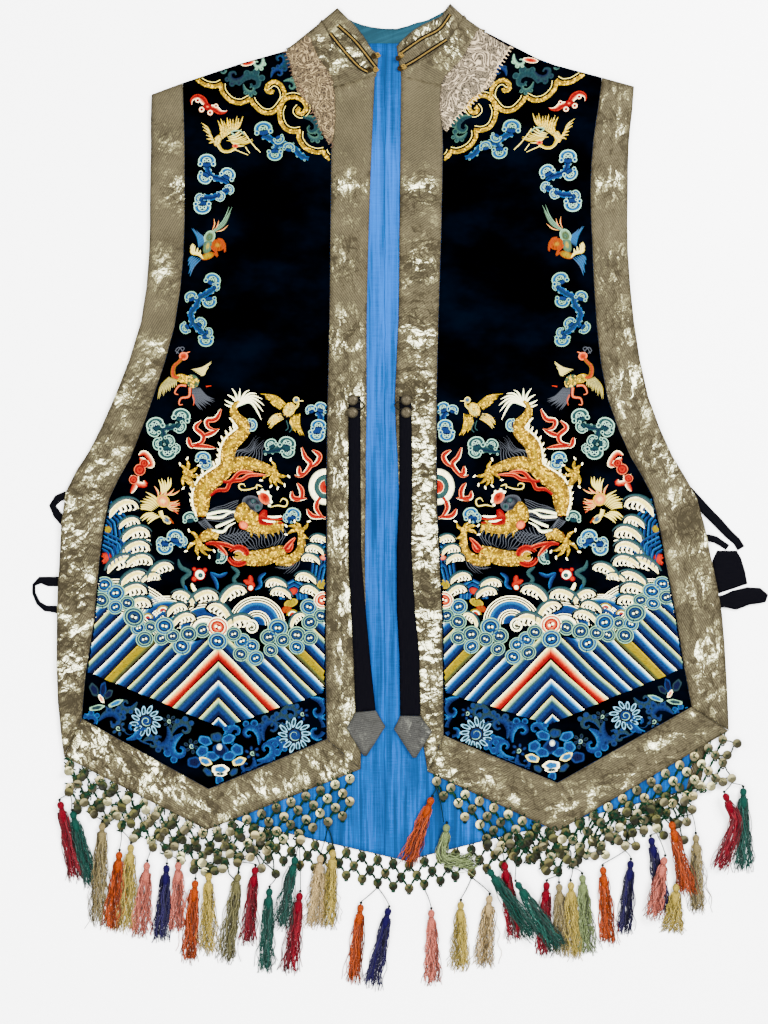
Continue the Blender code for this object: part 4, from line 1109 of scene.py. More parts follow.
def floss(bundle, head, tip, bend, rest, frizz, silk):
    """The head and the loose strands of one tassel."""
    colour = np.array(dye(SILKS[silk]))
    head, tip, *bend = np.array([head, tip, *bend], float)
    aim = (bend or [tip])[0] - head
    aim /= np.linalg.norm(aim)
    lift = rest + 4.2
    profile = ((-2.2, 0.8), (-1.2, 2.6), (0.6, 3.9), (2.8, 4.1), (4.8, 3.5), (6.2, 2.8), (7.4, 3.0),
               (9.5, 3.8), (12.5, 4.0), (17.0, 3.4), (22.0, 1.2))
    path = [(*(head + aim * along), lift) for along, _ in profile]
    points, faces = tubes([path], [[radius for _, radius in profile]], 10)
    tones = np.repeat(colour[None], len(points), axis=0)
    tones[50:70] *= 0.55
    bundle.add(points, faces, tones)
    knot = [(*(head + aim * along), lift) for along in (-5.4, -4.6, -3.4, -2.2)]
    bundle.tube(knot, [[0.6, 1.7, 1.8, 0.8]], 8, dye((2.0, 3.8, 3.1)))
    spine = spaced(smooth_line([head + aim * 7, head + aim * 14, *bend, tip], 12), 1.0)
    marks = np.linspace(0, 1, STRAND_POINTS)
    run = np.gradient(spine, axis=0)
    run /= np.linalg.norm(run, axis=1, keepdims=True)
    paths = []
    for number in range(STRANDS):
        reach = min(RNG.normal(0.97, 0.05), 1.06)
        stray = RNG.uniform() < 0.05
        ring = RNG.uniform(0, 2 * math.pi)
        inner = math.sqrt(RNG.uniform(0.05, 1.0))
        place = marks * reach * (len(spine) - 1)
        base = along_line(spine, place) + np.maximum(place - (len(spine) - 1), 0)[:, None] * run[-1]
        way = along_line(run, place)
        spread = (3.6 + (4.2 + 2.6 * frizz) * marks ** 0.5 * (1.8 if stray else 1.0)) * inner
        wave = np.sin(marks * RNG.uniform(8, 18) * (0.7 + frizz) + RNG.uniform(0, 6))
        wave = wave * (0.9 + 1.3 * frizz) * marks ** 0.4
        wander = np.cumsum(RNG.normal(0, 0.4 + 0.45 * frizz, STRAND_POINTS)) * marks
        aside = math.cos(ring) * spread + wave + wander
        height = lift + (0.5 + rest * 0.75 - lift) * marks ** 0.7 + (math.sin(ring) * inner * 2.4 + 0.6) * (
            1.0 - 0.35 * marks)
        height = np.maximum(height, 0.35)
        paths.append(np.column_stack([base[:, 0] - way[:, 1] * aside, base[:, 1] + way[:, 0] * aside,
                                      height]))
    radius = np.linspace(0.55, 0.42, STRAND_POINTS)[None] * (0.9 if frizz > 0.9 else 1.05)
    points, faces = tubes(paths, radius, 3)
    tones = colour * RNG.choice((0.22, 0.55, 0.95, 1.3, 1.9), (STRANDS, 1))
    tones = tones + RNG.uniform(0, 0.015, (STRANDS, 1))
    bundle.add(points, faces, per_point(tones, STRAND_POINTS, 3))


SILK = silk_finish("tassel_silk", 0.55, 900)
# %% [markdown]
# Tassels that share a CAD piece share one bundle, and the bundles are made in the order of their names.

# %% Hanging every tassel
named = {f"tassel{'s' if len(rows) > 1 else ''}_{number:02}": rows for number, rows in TASSELS.items()}
for name, rows in sorted(named.items()):
    bundle = Bundle()
    tie = hanging_point("net_" + rows[0][5], rows)
    for head, tip, bend, rest, frizz, _, silk in rows:
        floss(bundle, head, tip, bend, rest, frizz, silk)
        aim = np.array(tip, float) - head
        aim /= np.linalg.norm(aim)
        end = (head[0] - aim[0] * 5, head[1] - aim[1] * 5, rest + 4.2)
        line = smooth_line([tie, np.mean([tie, end], axis=0) + (0.8, 0, -0.6), end], 4)
        bundle.tube(line, 0.65, 5, dye((2.8, 8.3, 4.9)))
    bundle.make("floss_" + name, SILK, [name])

# %% [markdown]
# The embroidery is worked in silk floss and in gold thread that is laid and couched down. On the
# real vest every shape is drawn on the satin first and then filled. The lesson does the same: a
# `Sampler` collects flat patches for the left front, in millimetres, and they are laid on the satin
# of both fronts afterwards. Two kinds of patch are enough. A stroke is a ribbon of stitches along a
# line and a blob fills an outline ring by ring; both swell a little in the middle, as padded satin
# stitch does. Motifs are traditional ones in a composition of this lesson's own.

# %% Threads, strokes and blobs
THREADS = {name: dye(colour) for name, colour in {
    "white": (950, 863, 484), "cream": (537, 429, 89), "pale": (121, 241, 141), "gold": (155, 82, 0.1),
    "old": (81, 45, 4.2), "straw": (230, 153, 0.3), "red": (87, 0.1, 1.1), "coral": (195, 7.6, 1.0),
    "pink": (411, 88, 28), "navy": (1.3, 1.8, 11), "blue": (2.3, 10, 45), "sky": (1.7, 48, 132),
    "teal": (2.3, 12, 15), "sage": (23, 57, 37), "grey": (9.6, 27, 26), "yellow": (109, 79, 0.1),
    "frost": (108, 269, 373),
    "orange": (116, 17, 0.2), "ash": (29, 32, 38), "slate": (2.1, 2.5, 4.3), "black": (0.1, 0.5, 1.0),
    "dusk": (4.8, 13, 16), "olive": (24, 33, 10),
    "mist": (181, 338, 235), "bark": (13, 7.5, 1.8), "tan": (112, 69, 14)}.items()}
ROUND = np.array([0.3, 0.85, 1.0, 1.0, 1.0, 1.0, 0.85, 0.3])
LEAF = np.array([0.15, 0.65, 1.0, 0.95, 0.6, 0.1])
TAIL = np.array([0.8, 1.0, 0.95, 0.8, 0.55, 0.12])


def shades(names):
    return np.array([THREADS[name] for name in names.split()])


def rings(names, *reaches):
    """The rings of a blob, from its middle outward: how far each reaches, and its thread."""
    return list(zip(reaches, names.split()))


def grid_faces(rows, columns, closed=False):
    index = np.arange(rows * columns).reshape(rows, columns)
    near = index if closed else index[:, :-1]
    beside = np.roll(index, -1, axis=1) if closed else index[:, 1:]
    return np.stack([near[:-1], near[1:], beside[1:], beside[:-1]], axis=-1).reshape(-1, 4)


def turned(points, degrees, middle=(0, 0), size=1.0, hand=1):
    """Points of a small drawing, mirrored, enlarged, turned and moved to its place."""
    turn = math.radians(degrees)
    points = np.asarray(points, float) * (hand * size, size)
    return points @ np.array([[math.cos(turn), math.sin(turn)],
                              [-math.sin(turn), math.cos(turn)]]) + middle


def oval(x, y, across, down=None, degrees=0, start=0, sweep=360, count=16):
    """Points round an oval; a full sweep leaves out the last, doubled point."""
    turns = np.radians(np.linspace(start, start + sweep, count, endpoint=abs(sweep) < 360))
    down = across if down is None else down
    return turned(np.stack([np.cos(turns) * across, np.sin(turns) * down], axis=1), degrees, (x, y))


def beside(line, distance):
    """The line moved sideways; a positive distance lies below a line that runs to the right."""
    line = np.asarray(line, float)
    run = np.gradient(line, axis=0)
    run /= np.linalg.norm(run, axis=1, keepdims=True) + 1e-9
    return line + np.stack([-run[:, 1], run[:, 0]], axis=1) * distance


# %% [markdown]
# A `Sampler` collects the patches of a design before any of them is laid on the cloth. Each patch is
# a small grid of points with its dyes.

# %% The sampler
class Sampler:
    """Patches of thread, drawn flat for the left front."""

    def __init__(self):
        self.patches = []

    def lay(self, places, rise, colours, stitches, faces, level, thread):
        lift = rise + 0.14 + 0.2 * level + 0.006 * (len(self.patches) % 9)
        shape = places.shape[:2]
        self.patches.append((places.reshape(-1, 2), np.broadcast_to(lift, shape).ravel(),
                             np.broadcast_to(colours, (*shape, 3)).reshape(-1, 3),
                             stitches.reshape(-1, 2) * MM, faces, thread))

    def stroke(self, line, widths, names, level=0, thread="silk", crown=0.22, gap=1.7, curved=True):
        line = np.asarray(line, float)
        line = spaced(smooth_line(line, 5) if curved and len(line) > 2 else line, gap)
        widths = np.atleast_1d(widths)
        half = np.interp(np.linspace(0, 1, len(line)), np.linspace(0, 1, len(widths)), widths) / 2
        half = np.maximum(half, 0.06)
        colours = shades(names)
        if len(colours) < 3:
            colours = colours[[0, 0, -1]]
        across = np.linspace(-1, 1, len(colours))
        sides = beside(line, 1.0) - line
        places = line[:, None] + sides[:, None] * (half[:, None] * across)[..., None]
        rise = crown * np.minimum(half / 1.2, 1.0)[:, None] * (1 - across ** 2)
        along = np.arange(len(line)) * gap
        stitches = np.stack([along[:, None] + 0 * across, half[:, None] * across], axis=-1)
        self.lay(places, rise, colours[None], stitches, grid_faces(len(line), len(colours)), level, thread)

    def blob(self, outline, rings, level=0, thread="silk", crown=0.28, middle=None, grain=0):
        outline = np.asarray(outline, float)
        middle = outline.mean(axis=0) if middle is None else np.asarray(middle, float)
        shares = np.array([share for share, _ in rings])
        places = middle + (outline - middle)[None] * shares[:, None, None]
        colours = np.array([THREADS[name] for _, name in rings])[:, None]
        rise = (crown * (1 - shares ** 2))[:, None]
        self.lay(places, rise, colours, turned(places.reshape(-1, 2), grain),
                 grid_faces(len(rings), len(outline), closed=True), level, thread)

    def dot(self, x, y, radius, name, level=2, edge=None):
        self.blob(oval(x, y, radius, count=8), rings(f"{name} {name} {edge or name}", 0.05, 0.7, 1), level)

    def coil(self, x, y, radius, degrees, hand, width, names, level=2, turns=1.3):
        """A spiral that winds inward."""
        angle = np.radians(np.linspace(0, 360 * turns, int(10 * turns) + 4))
        reach = radius * (1 - 0.75 * np.linspace(0, 1, len(angle)) ** 0.8)
        line = np.stack([np.cos(angle) * reach, np.sin(angle) * reach], axis=1)
        self.stroke(turned(line, degrees, (x, y), 1, hand), width * ROUND, names, level, gap=1.2)


# %% [markdown]
# Motifs come from the two kinds of patch. Cloud heads are mushroom shapes with a pale rim and a
# pair of curls; wave crests have a cream body with hooked foam; birds are sets of tapering feathers.

# %% Clouds and waves
CLOUD_TONES = {"blue": "mist sky blue navy", "teal": "mist grey teal navy", "mint": "pale sky blue teal",
               "scroll": "pale grey blue navy", "deep": "pale sky blue navy", "coral": "white pink coral red"}


def cloud_head(sampler, x, y, radius, degrees=0, tone="blue", level=1, flat=0.8, curled=True):
    """A mushroom of nested bands, pale and dark by turns, that end in curls below two inner coils."""
    rim, light, body, deep = CLOUD_TONES[tone].split()
    outer = body if curled else "black"
    sampler.blob(oval(x, y, radius * 1.02, radius * (flat + 0.02), degrees, count=18),
                 rings(f"{deep} {deep} {outer} {outer} black black", 0.04, 0.4, 0.46, 0.86, 0.9, 1), level,
                 crown=0.1)
    bands = ((0.95, 0.1, f"{rim} {rim}"), (0.76, 0.24, f"{body} {light} {rim}"),
             (0.45, 0.3, f"{deep} {body} {light}"))
    if curled:
        bands = ((0.9, 0.12, f"{rim} {rim}"), (0.7, 0.2, f"{light} {body}"), (0.46, 0.1, f"{rim} {light}"))
    for reach, width, names in bands:
        span = (148, 244, 20) if curled else (60, 355, 22)
        turns = oval(0, 0.06 if curled else 0, reach, reach * flat, 0, *span)
        sampler.stroke(turned(turns, degrees, (x, y), radius), radius * width, names, level + 0.5,
                       curved=False)
    for hand in (-1, 1):
        if not curled:
            eye = turned([(0.17, 0.0)], degrees, (x, y), radius, hand)[0]
            sampler.dot(*eye, radius * 0.13, "white", level + 1, rim)
        else:
            ring = turned(oval(0.22, 0.02, 0.16, 0.15, 0, 100, 330, 11), degrees, (x, y), radius, hand)
            sampler.stroke(ring, radius * 0.1, f"{rim} {rim}", level + 1, curved=False, gap=1.0)
            end = turned([(0.74, 0.42)], degrees, (x, y), radius, hand)[0]
            sampler.blob(oval(*end, radius * 0.28, count=12),
                         rings(f"{deep} {body} {light} {rim} {rim} black", 0.05, 0.3, 0.56, 0.66, 0.9, 1),
                         level + 1, crown=0.12)


def cloud_stem(sampler, line, width=6.4, tone="blue"):
    """A knobbly neck between heads, with small pale bumps on both sides."""
    rim, light, body, deep = CLOUD_TONES[tone].split()
    line = spaced(smooth_line(line, 6), 2.0)
    steps = np.arange(len(line))
    knobs = width * (1 + 0.25 * np.sin(steps * 2.1)) * np.where(steps > len(line) - 4, 0.6, 1.0)
    sampler.stroke(line, knobs, f"{light} {body} {deep} {body} {body} {light}", 0, curved=False)
    for number in range(1, len(line) - 1, 2):
        hand = 1 if number % 4 == 1 else -1
        place = beside(line, hand * width * 0.46)[number]
        sampler.blob(oval(*place, width * 0.22, count=8), rings(f"{body} {light} {rim}", 0.05, 0.5, 1), 0,
                     crown=0.15)


def cloud(sampler, heads, stems, tone="blue"):
    for stem in stems:
        cloud_stem(sampler, stem, tone=tone)
    for x, y, radius, degrees in heads:
        cloud_head(sampler, x, y, radius, degrees, tone)


CREST_SPINE = places("-1.75,1.05 -1.35,0.4 -0.86,-0.06 -0.2,-0.34 0.5,-0.32 0.98,-0.04 1.2,0.42")
CREST_GROUND = places("-1.95,1.2 -1.85,0.3 -1.25,-0.48 -0.2,-0.86 0.7,-0.82 1.4,-0.34 1.5,0.5 1.1,0.72"
                      " 0.3,0.7 -0.5,0.75 -1.2,1.2")


def crest(sampler, x, y, radius, degrees=0, hand=1, level=1):
    """One curling wave: a cream body with a grey-green back and three hooks of foam."""
    def put(points):
        return turned(points, degrees, (x, y), radius, hand)
    sampler.blob(put(CREST_GROUND), rings("black black", 0.05, 1), level - 0.3, crown=0.0)
    sampler.stroke(put(CREST_SPINE), radius * np.array([0.1, 0.56, 0.72, 0.66, 0.52, 0.36, 0.1]),
                   "white cream cream white", level, crown=0.12)
    back = beside(smooth_line(put(CREST_SPINE), 4), -0.44 * radius * hand)[1:-3]
    sampler.stroke(back, radius * 0.4 * np.array([0.4, 0.9, 1.0, 1.0, 0.8, 0.5, 0.2]),
                   "ash grey teal" if hand < 0 else "teal grey ash", level + 0.4)
    for hook_x, rise in ((0.8, -0.1), (0.3, -0.1), (-0.2, -0.04), (-0.66, 0.12)):
        hook = put([(hook_x, rise), (hook_x + 0.16, rise + 0.34), (hook_x + 0.06, rise + 0.56),
                    (hook_x - 0.16, rise + 0.6)])
        sampler.stroke(hook, radius * 0.24 * np.array([1.3, 1.0, 0.8, 0.4]), "white white", level - 0.1,
                       crown=0.1)


def arch(sampler, x, y, radius, bands, start=180, sweep=180, flat=1.0, level=0):
    """Round hills of water: bands of colour one inside the other, from outside in."""
    for names, width in bands:
        radius -= width / 2
        if names != "gap":
            line = oval(x, y, radius, radius * flat, 0, start, sweep, 24)
            sampler.stroke(line, width, names, level, curved=False)
        radius -= width / 2


# %% [markdown]
# Birds, flames and bats are sets of tapering strokes: feathers fan out along a wing, and a flame is a
# few tongues side by side.

# %% Feathers, flames, bats and claws
def feathers(sampler, root, tip, first, last, count, width, names, level=1, bend=0.12, thread="silk"):
    """Feathers from the line root..tip, whose ends run from first to last."""
    shares = np.linspace(0, 1, count)[:, None]
    starts = np.array(root) + (np.array(tip) - np.array(root)) * shares
    ends = np.array(first) + (np.array(last) - np.array(first)) * shares
    for number, (start, end) in enumerate(zip(starts, ends)):
        run = end - start
        reach = 1.0 + 0.09 * math.sin(number * 2.4)
        middle = start + run * 0.5 + np.array([-run[1], run[0]]) * bend
        sampler.stroke([start, middle, start + run * reach], width * LEAF, names, level, thread, gap=1.5)


def flame(sampler, lines, width=4.4):
    """Tongues of fire: red strokes with a pale edge."""
    lick = np.array([0.3, 0.9, 1.0, 0.9, 0.65, 0.15])
    for line in lines:
        sampler.stroke(line, (width + 1.4) * lick, "pink white", 0)
    for line in lines:
        sampler.stroke(line, width * 0.86 * lick, "red red coral red", 1)


def bat(sampler, x, y, size, degrees):
    def put(points):
        return turned(points, degrees, (x, y), size)
    for wing in lines("-1,0 -7,-5 -13,-6 -17,-2 -16,3; 2,1 8,1 13,3 18,2 20,0"):
        sampler.stroke(put(wing), size * np.array([4.5, 7.0, 6.0, 3.4, 0.8]), "white pink red red coral", 0)
    for spot_x, spot_y, radius in ((-11, -3, 2.6), (-5, 5, 2.8), (4, 6, 2.8), (8, -2, 2.2)):
        place = put([(spot_x, spot_y)])[0]
        sampler.blob(oval(*place, radius * size, count=12),
                     rings("red red white pink", 0.05, 0.55, 0.62, 1), 1)
    sampler.blob(put(oval(0, 1, 4.6, 3.4)), rings("pink coral red red", 0.05, 0.3, 0.45, 1), 2)


def claw(sampler, x, y, ends, width=3.6):
    """A dragon's foot: gold toes that end in white nails."""
    for end_x, end_y in ends:
        run = np.array([end_x - x, end_y - y])
        side = np.array([-run[1], run[0]]) * 0.14
        toe = [(x, y), (x, y) + run * 0.55 + side, (end_x, end_y)]
        sampler.stroke(toe, width * LEAF * 1.1, "old gold straw gold", 2, "gold")
        nail = np.array([end_x, end_y]) + run / np.linalg.norm(run) * 1.6
        sampler.blob(oval(*nail, 2.2, 1.0, math.degrees(math.atan2(run[1], run[0])) + 30, count=8),
                     rings("white white", 0.05, 1), 2)
    sampler.blob(oval(x, y, width * 1.1), rings("straw gold old", 0.05, 0.6, 1), 3, "gold")


# %% [markdown]
# Hair, flower heads and leaves repeat one stroke or one petal, each time turned or shifted a little.

# %% Hair, flowers and leaves
def strands(sampler, first, last, count, width, waves):
    """Hair: wavy lines side by side between two guide lines."""
    first = spaced(smooth_line(first, 6), 1.0)
    last = spaced(smooth_line(last, 6), 1.0)
    marks = np.linspace(0, 1, 12)
    guides = [along_line(line, marks * (len(line) - 1)) for line in (first, last)]
    for number in range(count):
        share = number / max(count - 1, 1)
        line = guides[0] * (1 - share) + guides[1] * share
        sway = np.sin(marks * math.pi * waves + number * 0.9)
        line = beside(line, 1) + (beside(line, 1) - line) * sway[:, None]
        sampler.stroke(line[:12 - number % 3], width * TAIL, "ash ash", 1, gap=1.8)


def flower(sampler, x, y, radius, petals, names, heart, level=1):
    """Petals with turned-back pale edges round a coiled heart."""
    outer, inner = names.split()
    for number in range(petals):
        turn = 2 * math.pi * number / petals + 0.3
        reach = radius * (0.72 if number % 2 else 0.64)
        place = (x + math.cos(turn) * reach, y + math.sin(turn) * reach)
        width = min(0.24, 1.75 / petals) * radius
        sampler.blob(oval(*place, radius * 0.34, width, math.degrees(turn) + 14, count=12),
                     rings(f"{inner} {inner} {outer} {outer} black black", 0.05, 0.5, 0.64, 0.84, 0.9, 1),
                     level, grain=math.degrees(turn))
    sampler.blob(oval(x, y, radius * 0.42), rings(f"{heart} {heart} slate slate", 0.05, 0.7, 0.8, 1),
                 level + 1)
    sampler.coil(x, y, radius * 0.32, 40, 1, 0.9, "pale pale", level + 2)


def petal(sampler, x, y, across, down, degrees, inner, outer, level=2):
    """A round petal with a notched, paler edge and a dark outline."""
    outline = oval(x, y, across, down, degrees, count=24)
    notch = 1 + 0.07 * np.cos(np.linspace(0, 10 * math.pi, 24, endpoint=False))[:, None]
    sampler.blob((x, y) + (outline - (x, y)) * notch,
                 rings(f"{inner} {inner} {outer} {outer} black black", 0.05, 0.5, 0.74, 0.86, 0.9, 1), level,
                 middle=(x, y), grain=degrees)


def leaf_curl(sampler, x, y, size, degrees, hand, names, level=0):
    """A scrolling leaf: a curl with three lobes."""
    parts = names.split()
    lobe = f"{parts[-1]} {parts[len(parts) // 2]} {parts[0]}"
    line = turned([(-1.2, 0.9), (-0.9, -0.1), (-0.2, -0.7), (0.6, -0.5), (0.8, 0.2), (0.3, 0.5), (0.0, 0.2)],
                  degrees, (x, y), size, hand)
    sampler.stroke(line, size * np.array([0.2, 0.6, 0.9, 0.85, 0.6, 0.42, 0.24]), names, level)
    for lobe_x, lobe_y, reach in ((-0.8, -0.7, 0.38), (0.1, -1.15, 0.42), (0.95, -0.8, 0.36)):
        place = turned([(lobe_x, lobe_y)], degrees, (x, y), size, hand)[0]
        sampler.blob(oval(*place, reach * size, count=10), rings(lobe, 0.05, 0.6, 1), level)


# %% [markdown]
# The shoulder is framed by a gold cloud-collar scroll with a thin pale line inside it. Below it come
# a bat, a crane, and chains of clouds with phoenixes down the side. The middle stays plain satin.

# %% Upper part of the front
design = Sampler()
COLLAR_SCROLL = lines("""
-230,82 -225,87 -216,92 -206,93 -199,90; -200,90 -199,99 -190,109 -178,112 -167,107;
-167,107 -164,113 -154,122 -142,122 -133,113 -129,103 -133,92 -141,88 -148,92 -149,98 -144,100 -142,97;
-132,112 -127,107 -118,105 -108,110 -105,118 -110,124 -115,121 -112,117;
-132,113 -135,121 -134,131 -129,140 -120,144 -111,143; -113,143 -113,152 -106,162 -94,167 -85,166;
-86,165 -84,170 -77,176""")
for line in COLLAR_SCROLL:
    design.stroke(line, 4.6, "old gold old straw old", 1, "gold", gap=1.4)
    design.stroke(beside(smooth_line(line, 5), -4.6), 0.8, "cream", 1)
for x, y, size, degrees, hand, names in table("""
-166 88 10 20 1 grey teal dusk; -184 82 8 200 1 teal dusk navy; -134 65 9 100 -1 blue teal navy;
-137 78 6 0 1 dusk blue navy; -122 91 6 60 1 grey sage teal; -99 137 9 80 1 sage teal dusk;
-95 148 6 160 -1 sage grey teal; -200 75 6 10 1 sage grey teal; -158 67 6 150 1 sage pale grey;
-168 96 6 180 -1 sage grey teal"""):
    leaf_curl(design, x, y, size, degrees, hand, names, 1)
design.blob(oval(-170, 67, 8, 3.2, -12), rings("red coral pink white", 0.05, 0.5, 0.8, 1), 2)
bat(design, -215, 115, 1.12, 14)

CLOUDS = """
mint: -153,140,10.5,-8 -135,153,6.5,150 -140,170,9,180 -124,161,7,10: -154,148 -144,152 -137,159 -142,165
/ -135,158 -121,160 -112,170 -102,174;
blue: -216,176,10,0 -219,196,8.5,-150 -192,191,9,30 -190,208,6,60 -200,217,6,120 -225,218,6,-60
-221,229,10,180: -216,182 -212,193 -198,198 -192,202 / -194,210 -208,217 -220,218 -223,223;
mint: -209,309,9.5,20 -205,317,5,60 -234,328,7.5,-20 -213,335,8.5,170 -241,364,7,-120 -222,357,7,40
-213,368,5.5,80 -217,378,9,180: -206,318 -216,325 -225,330 -227,338 -234,347 -232,357 -235,362 / -231,357
-225,365 -216,372;
teal: -274,471,10.5,-20 -244,461,10.5,15 -245,475,7.5,130 -276,479,8,-140 -271,493,7.5,-90 -257,489,7,60
-260,503,10.5,180 -250,499,6,120: -247,472 -258,475 -268,475 / -266,475 -264,484 -259,496;
blue: -220,508,9,5 -217,517,7,170: -216,516 -212,521 -204,522;
teal: -126,492,10,15 -145,493,7.5,-30 -125,503,8,160: -129,498 -140,500 -153,502;
blue: -88,452,8,20 -100,454,6.5,-20 -91,472,9,0 -93,484,9.5,180: -92,457 -88,465 -91,475;
blue: -165,472,7.5,90: ;
blue: -251,596,10,8 -242,601,6,60 -263,610,9.5,180 -268,602,6,-60: -254,602 -247,604 -239,608 / -262,601
-264,606; teal: -235,575,8.5,-10 -199,619,8.5,100: ;
blue: -119,571,9,20 -127,575,5.5,-60: -121,574 -125,581"""
for row in CLOUDS.split(";"):
    tone, heads, stems = row.split(":")
    cloud(design, places(heads), lines(stems, "/"), tone.strip())


# %% [markdown]
# Two cranes and three phoenixes: wings and tails are feathers, bodies are blobs, legs thin strokes.

# %% Birds
FEATHERS = table("""
-206,156 -211,150 -214,157 -223,133 6 2.2 old cream straw gold;
-201,154 -189,145 -204,131 -176,127 9 3 old straw cream gold gold;
-194,154 -184,156 -173,148 -164,154 5 2.6 cream straw old silk;
-193,150 -189,156 -177,141 -173,160 6 2 cream old silk;
-211,256 -215,260 -191,228 -187,232 3 2.2 pale sage olive silk;
-210,254 -206,256 -208,241 -193,249 4 1.2 pink cream silk;
-225,274 -219,270 -233,252 -223,258 6 2.6 dusk sky ash silk;
-231,283 -222,286 -237,289 -235,306 5 2.8 ash sky dusk silk;
-232,269 -223,276 -233,279 -223,284 4 2.4 cream ash silk;
-233,410 -223,417 -211,401 -217,412 6 2.8 ash cream grey silk;
-258,418 -250,421 -271,443 -250,428 10 2 cream grey straw silk;
-232,430 -224,430 -223,455 -206,444 11 2.2 slate ash ash silk;
-134,455 -127,449 -143,449 -154,438 7 2.8 old straw gold gold;
-121,461 -112,459 -119,478 -107,485 6 2.6 old straw gold gold;
-133,459 -130,465 -148,469 -145,476 5 3.2 gold cream ash gold;
-270,554 -262,550 -275,540 -246,545 5 2 pink cream silk;
-267,550 -262,547 -270,533 -256,531 5 2.6 cream straw silk;
-277,568 -268,562 -296,567 -283,548 7 3 straw cream old silk;
-275,570 -268,574 -291,577 -281,582 4 2.8 cream straw silk;
-262,562 -260,558 -247,568 -247,556 5 2.2 orange pink cream silk""")
for root, tip, first, last, count, width, words in FEATHERS:
    names, thread = words.rsplit(maxsplit=1)
    feathers(design, root, tip, first, last, count, width, names, thread=thread)
BODIES = table("""
-204 154 4 7 20 straw cream old gold; -184 160 3.4 2.2 0 red coral pink silk;
-213 262 6 8 30 sage olive pale silk; -204 271 8 6.5 10 gold orange orange silk;
-215 272 5 10 15 straw sage olive silk; -215 283 8 4 -20 gold yellow orange silk;
-243 420 8.5 5 15 olive straw gold gold; -232 423 8 7 50 straw olive sage gold;
-242 395 5 4.6 0 orange coral pink silk; -124 455 6.5 9 30 straw cream gold gold;
-116 444 3.6 3.6 0 sky ash cream silk; -265 557 8 7 30 cream pink straw silk;
-261 578 6 3.6 40 sky ash cream silk""")
for x, y, across, down, degrees, words in BODIES:
    names, thread = words.rsplit(maxsplit=1)
    design.blob(oval(x, y, across, down, degrees), rings(names, 0.05, 0.5, 1), 2, thread)
LIMBS = strokes("""
-204,157 -199,165 -191,166 -184,162: 4.2 3.2 3 3.4: straw cream;
-184,148 -189,144 -179,143 -175,147: 2 1.6 1.6 1: pale ash;
-175,144 -168,154 -160,164: 1.6 1.2 1: cream old; -164,159 -156,167: 1 0.8: cream;
-185,164 -170,170: 1.2 0.8: cream old; -173,161 -168,168: 1 0.8: cream;
-204,264 -198,266 -196,279: 2 2.4 1: orange coral; -212,272 -206,278 -204,283: 3 3 2: orange coral;
-231,270 -233,279 -225,281 -220,286: 2 3.4 4 2: cream straw;
-206,272 -197,268 -195,278: 3 2.6 1: orange coral; -208,280 -204,284: 3 1: orange;
-243,396 -247,401 -253,407 -253,417 -245,419: 4 3.6 4.6 5.6 4: old orange coral old;
-240,392 -235,390: 1.6 0.6: pink; -243,390 -247,385 -251,389 -247,392: 1: ash;
-243,389 -241,386 -245,385 -250,392: 0.9: ash;
-239,428 -247,428 -252,436 -248,438: 3 2.6 2 1: coral pink orange;
-235,430 -236,440 -245,442 -247,449 -243,449: 3.6 3 2.6 2 1: coral pink orange;
-232,438 -230,444 -231,450: 1.6 1.4 0.8: coral pink; -217,429 -211,428: 1.6 0.8: coral;
-119,454 -114,449 -117,444: 3.6 2.8 3: straw cream; -114,445 -108,445: 1.4 0.6: cream;
-127,467 -125,475 -128,478: 1: grey; -124,469 -121,476 -124,480: 1: grey;
-268,568 -266,574 -261,578: 5 4.4 4: cream straw; -258,577 -253,582: 3 1: orange coral;
-256,562 -246,561: 1.6 1.2: coral pink; -255,566 -248,571: 1.6 1: coral pink""")
for line, widths, names in LIMBS:
    design.stroke(line, widths, names, 2)
for x, y in ((-121, 462), (-131, 459), (-128, 462), (-125, 463), (-136, 461)):
    design.dot(x, y, 1.1, "slate", 3)
print("upper front:", len(design.patches), "patches")

# %% [markdown]
# A gold dragon fills the lower front. Its body is two thick strokes of couched gold thread with rows
# of small scales, edged with white fins; the head, the red manes and the claws are laid over it.

# %% The dragon
DRAGON_BACK = places("""
-180,445 -186,452 -184,462 -175,472 -176,480 -189,493 -193,506 -194,519 -204,529 -217,539 -222,552
-222,564 -222,574""")
DRAGON_WIDTHS = np.array([4, 8, 12, 14, 16, 17, 16, 17, 19, 20, 20, 18, 10]) * 1.04


def scaled(line, widths, level=1):
    """Couched gold with rows of scales: small dark arcs across the body, like fish scales."""
    design.stroke(line, widths, "old old gold straw gold old old", level, "gold", 0.9)
    body = spaced(smooth_line(line, 5), 3.3)
    half = np.interp(np.linspace(0, 1, len(body)), np.linspace(0, 1, len(widths)), widths) / 2
    sides = beside(body, 1.0) - body
    ahead = np.stack([sides[:, 1], -sides[:, 0]], axis=1)
    for number in range(len(body)):
        count = max(int(half[number] * 2 / 3.6), 1)
        for place in np.linspace(-1, 1, count) * (half[number] - 2.0):
            middle = body[number] + sides[number] * (place + (1.6 if number % 2 else 0)) * 0.94
            lift = 4 if abs(place) < half[number] * 0.6 else 3
            scale = [middle - sides[number] * 1.5, middle + ahead[number] * 1.1, middle + sides[number] * 1.5]
            design.stroke(scale, 0.5, ("olive", "old", "orange")[(number + int(place)) % 3], lift, crown=0.05,
                          gap=1.6)


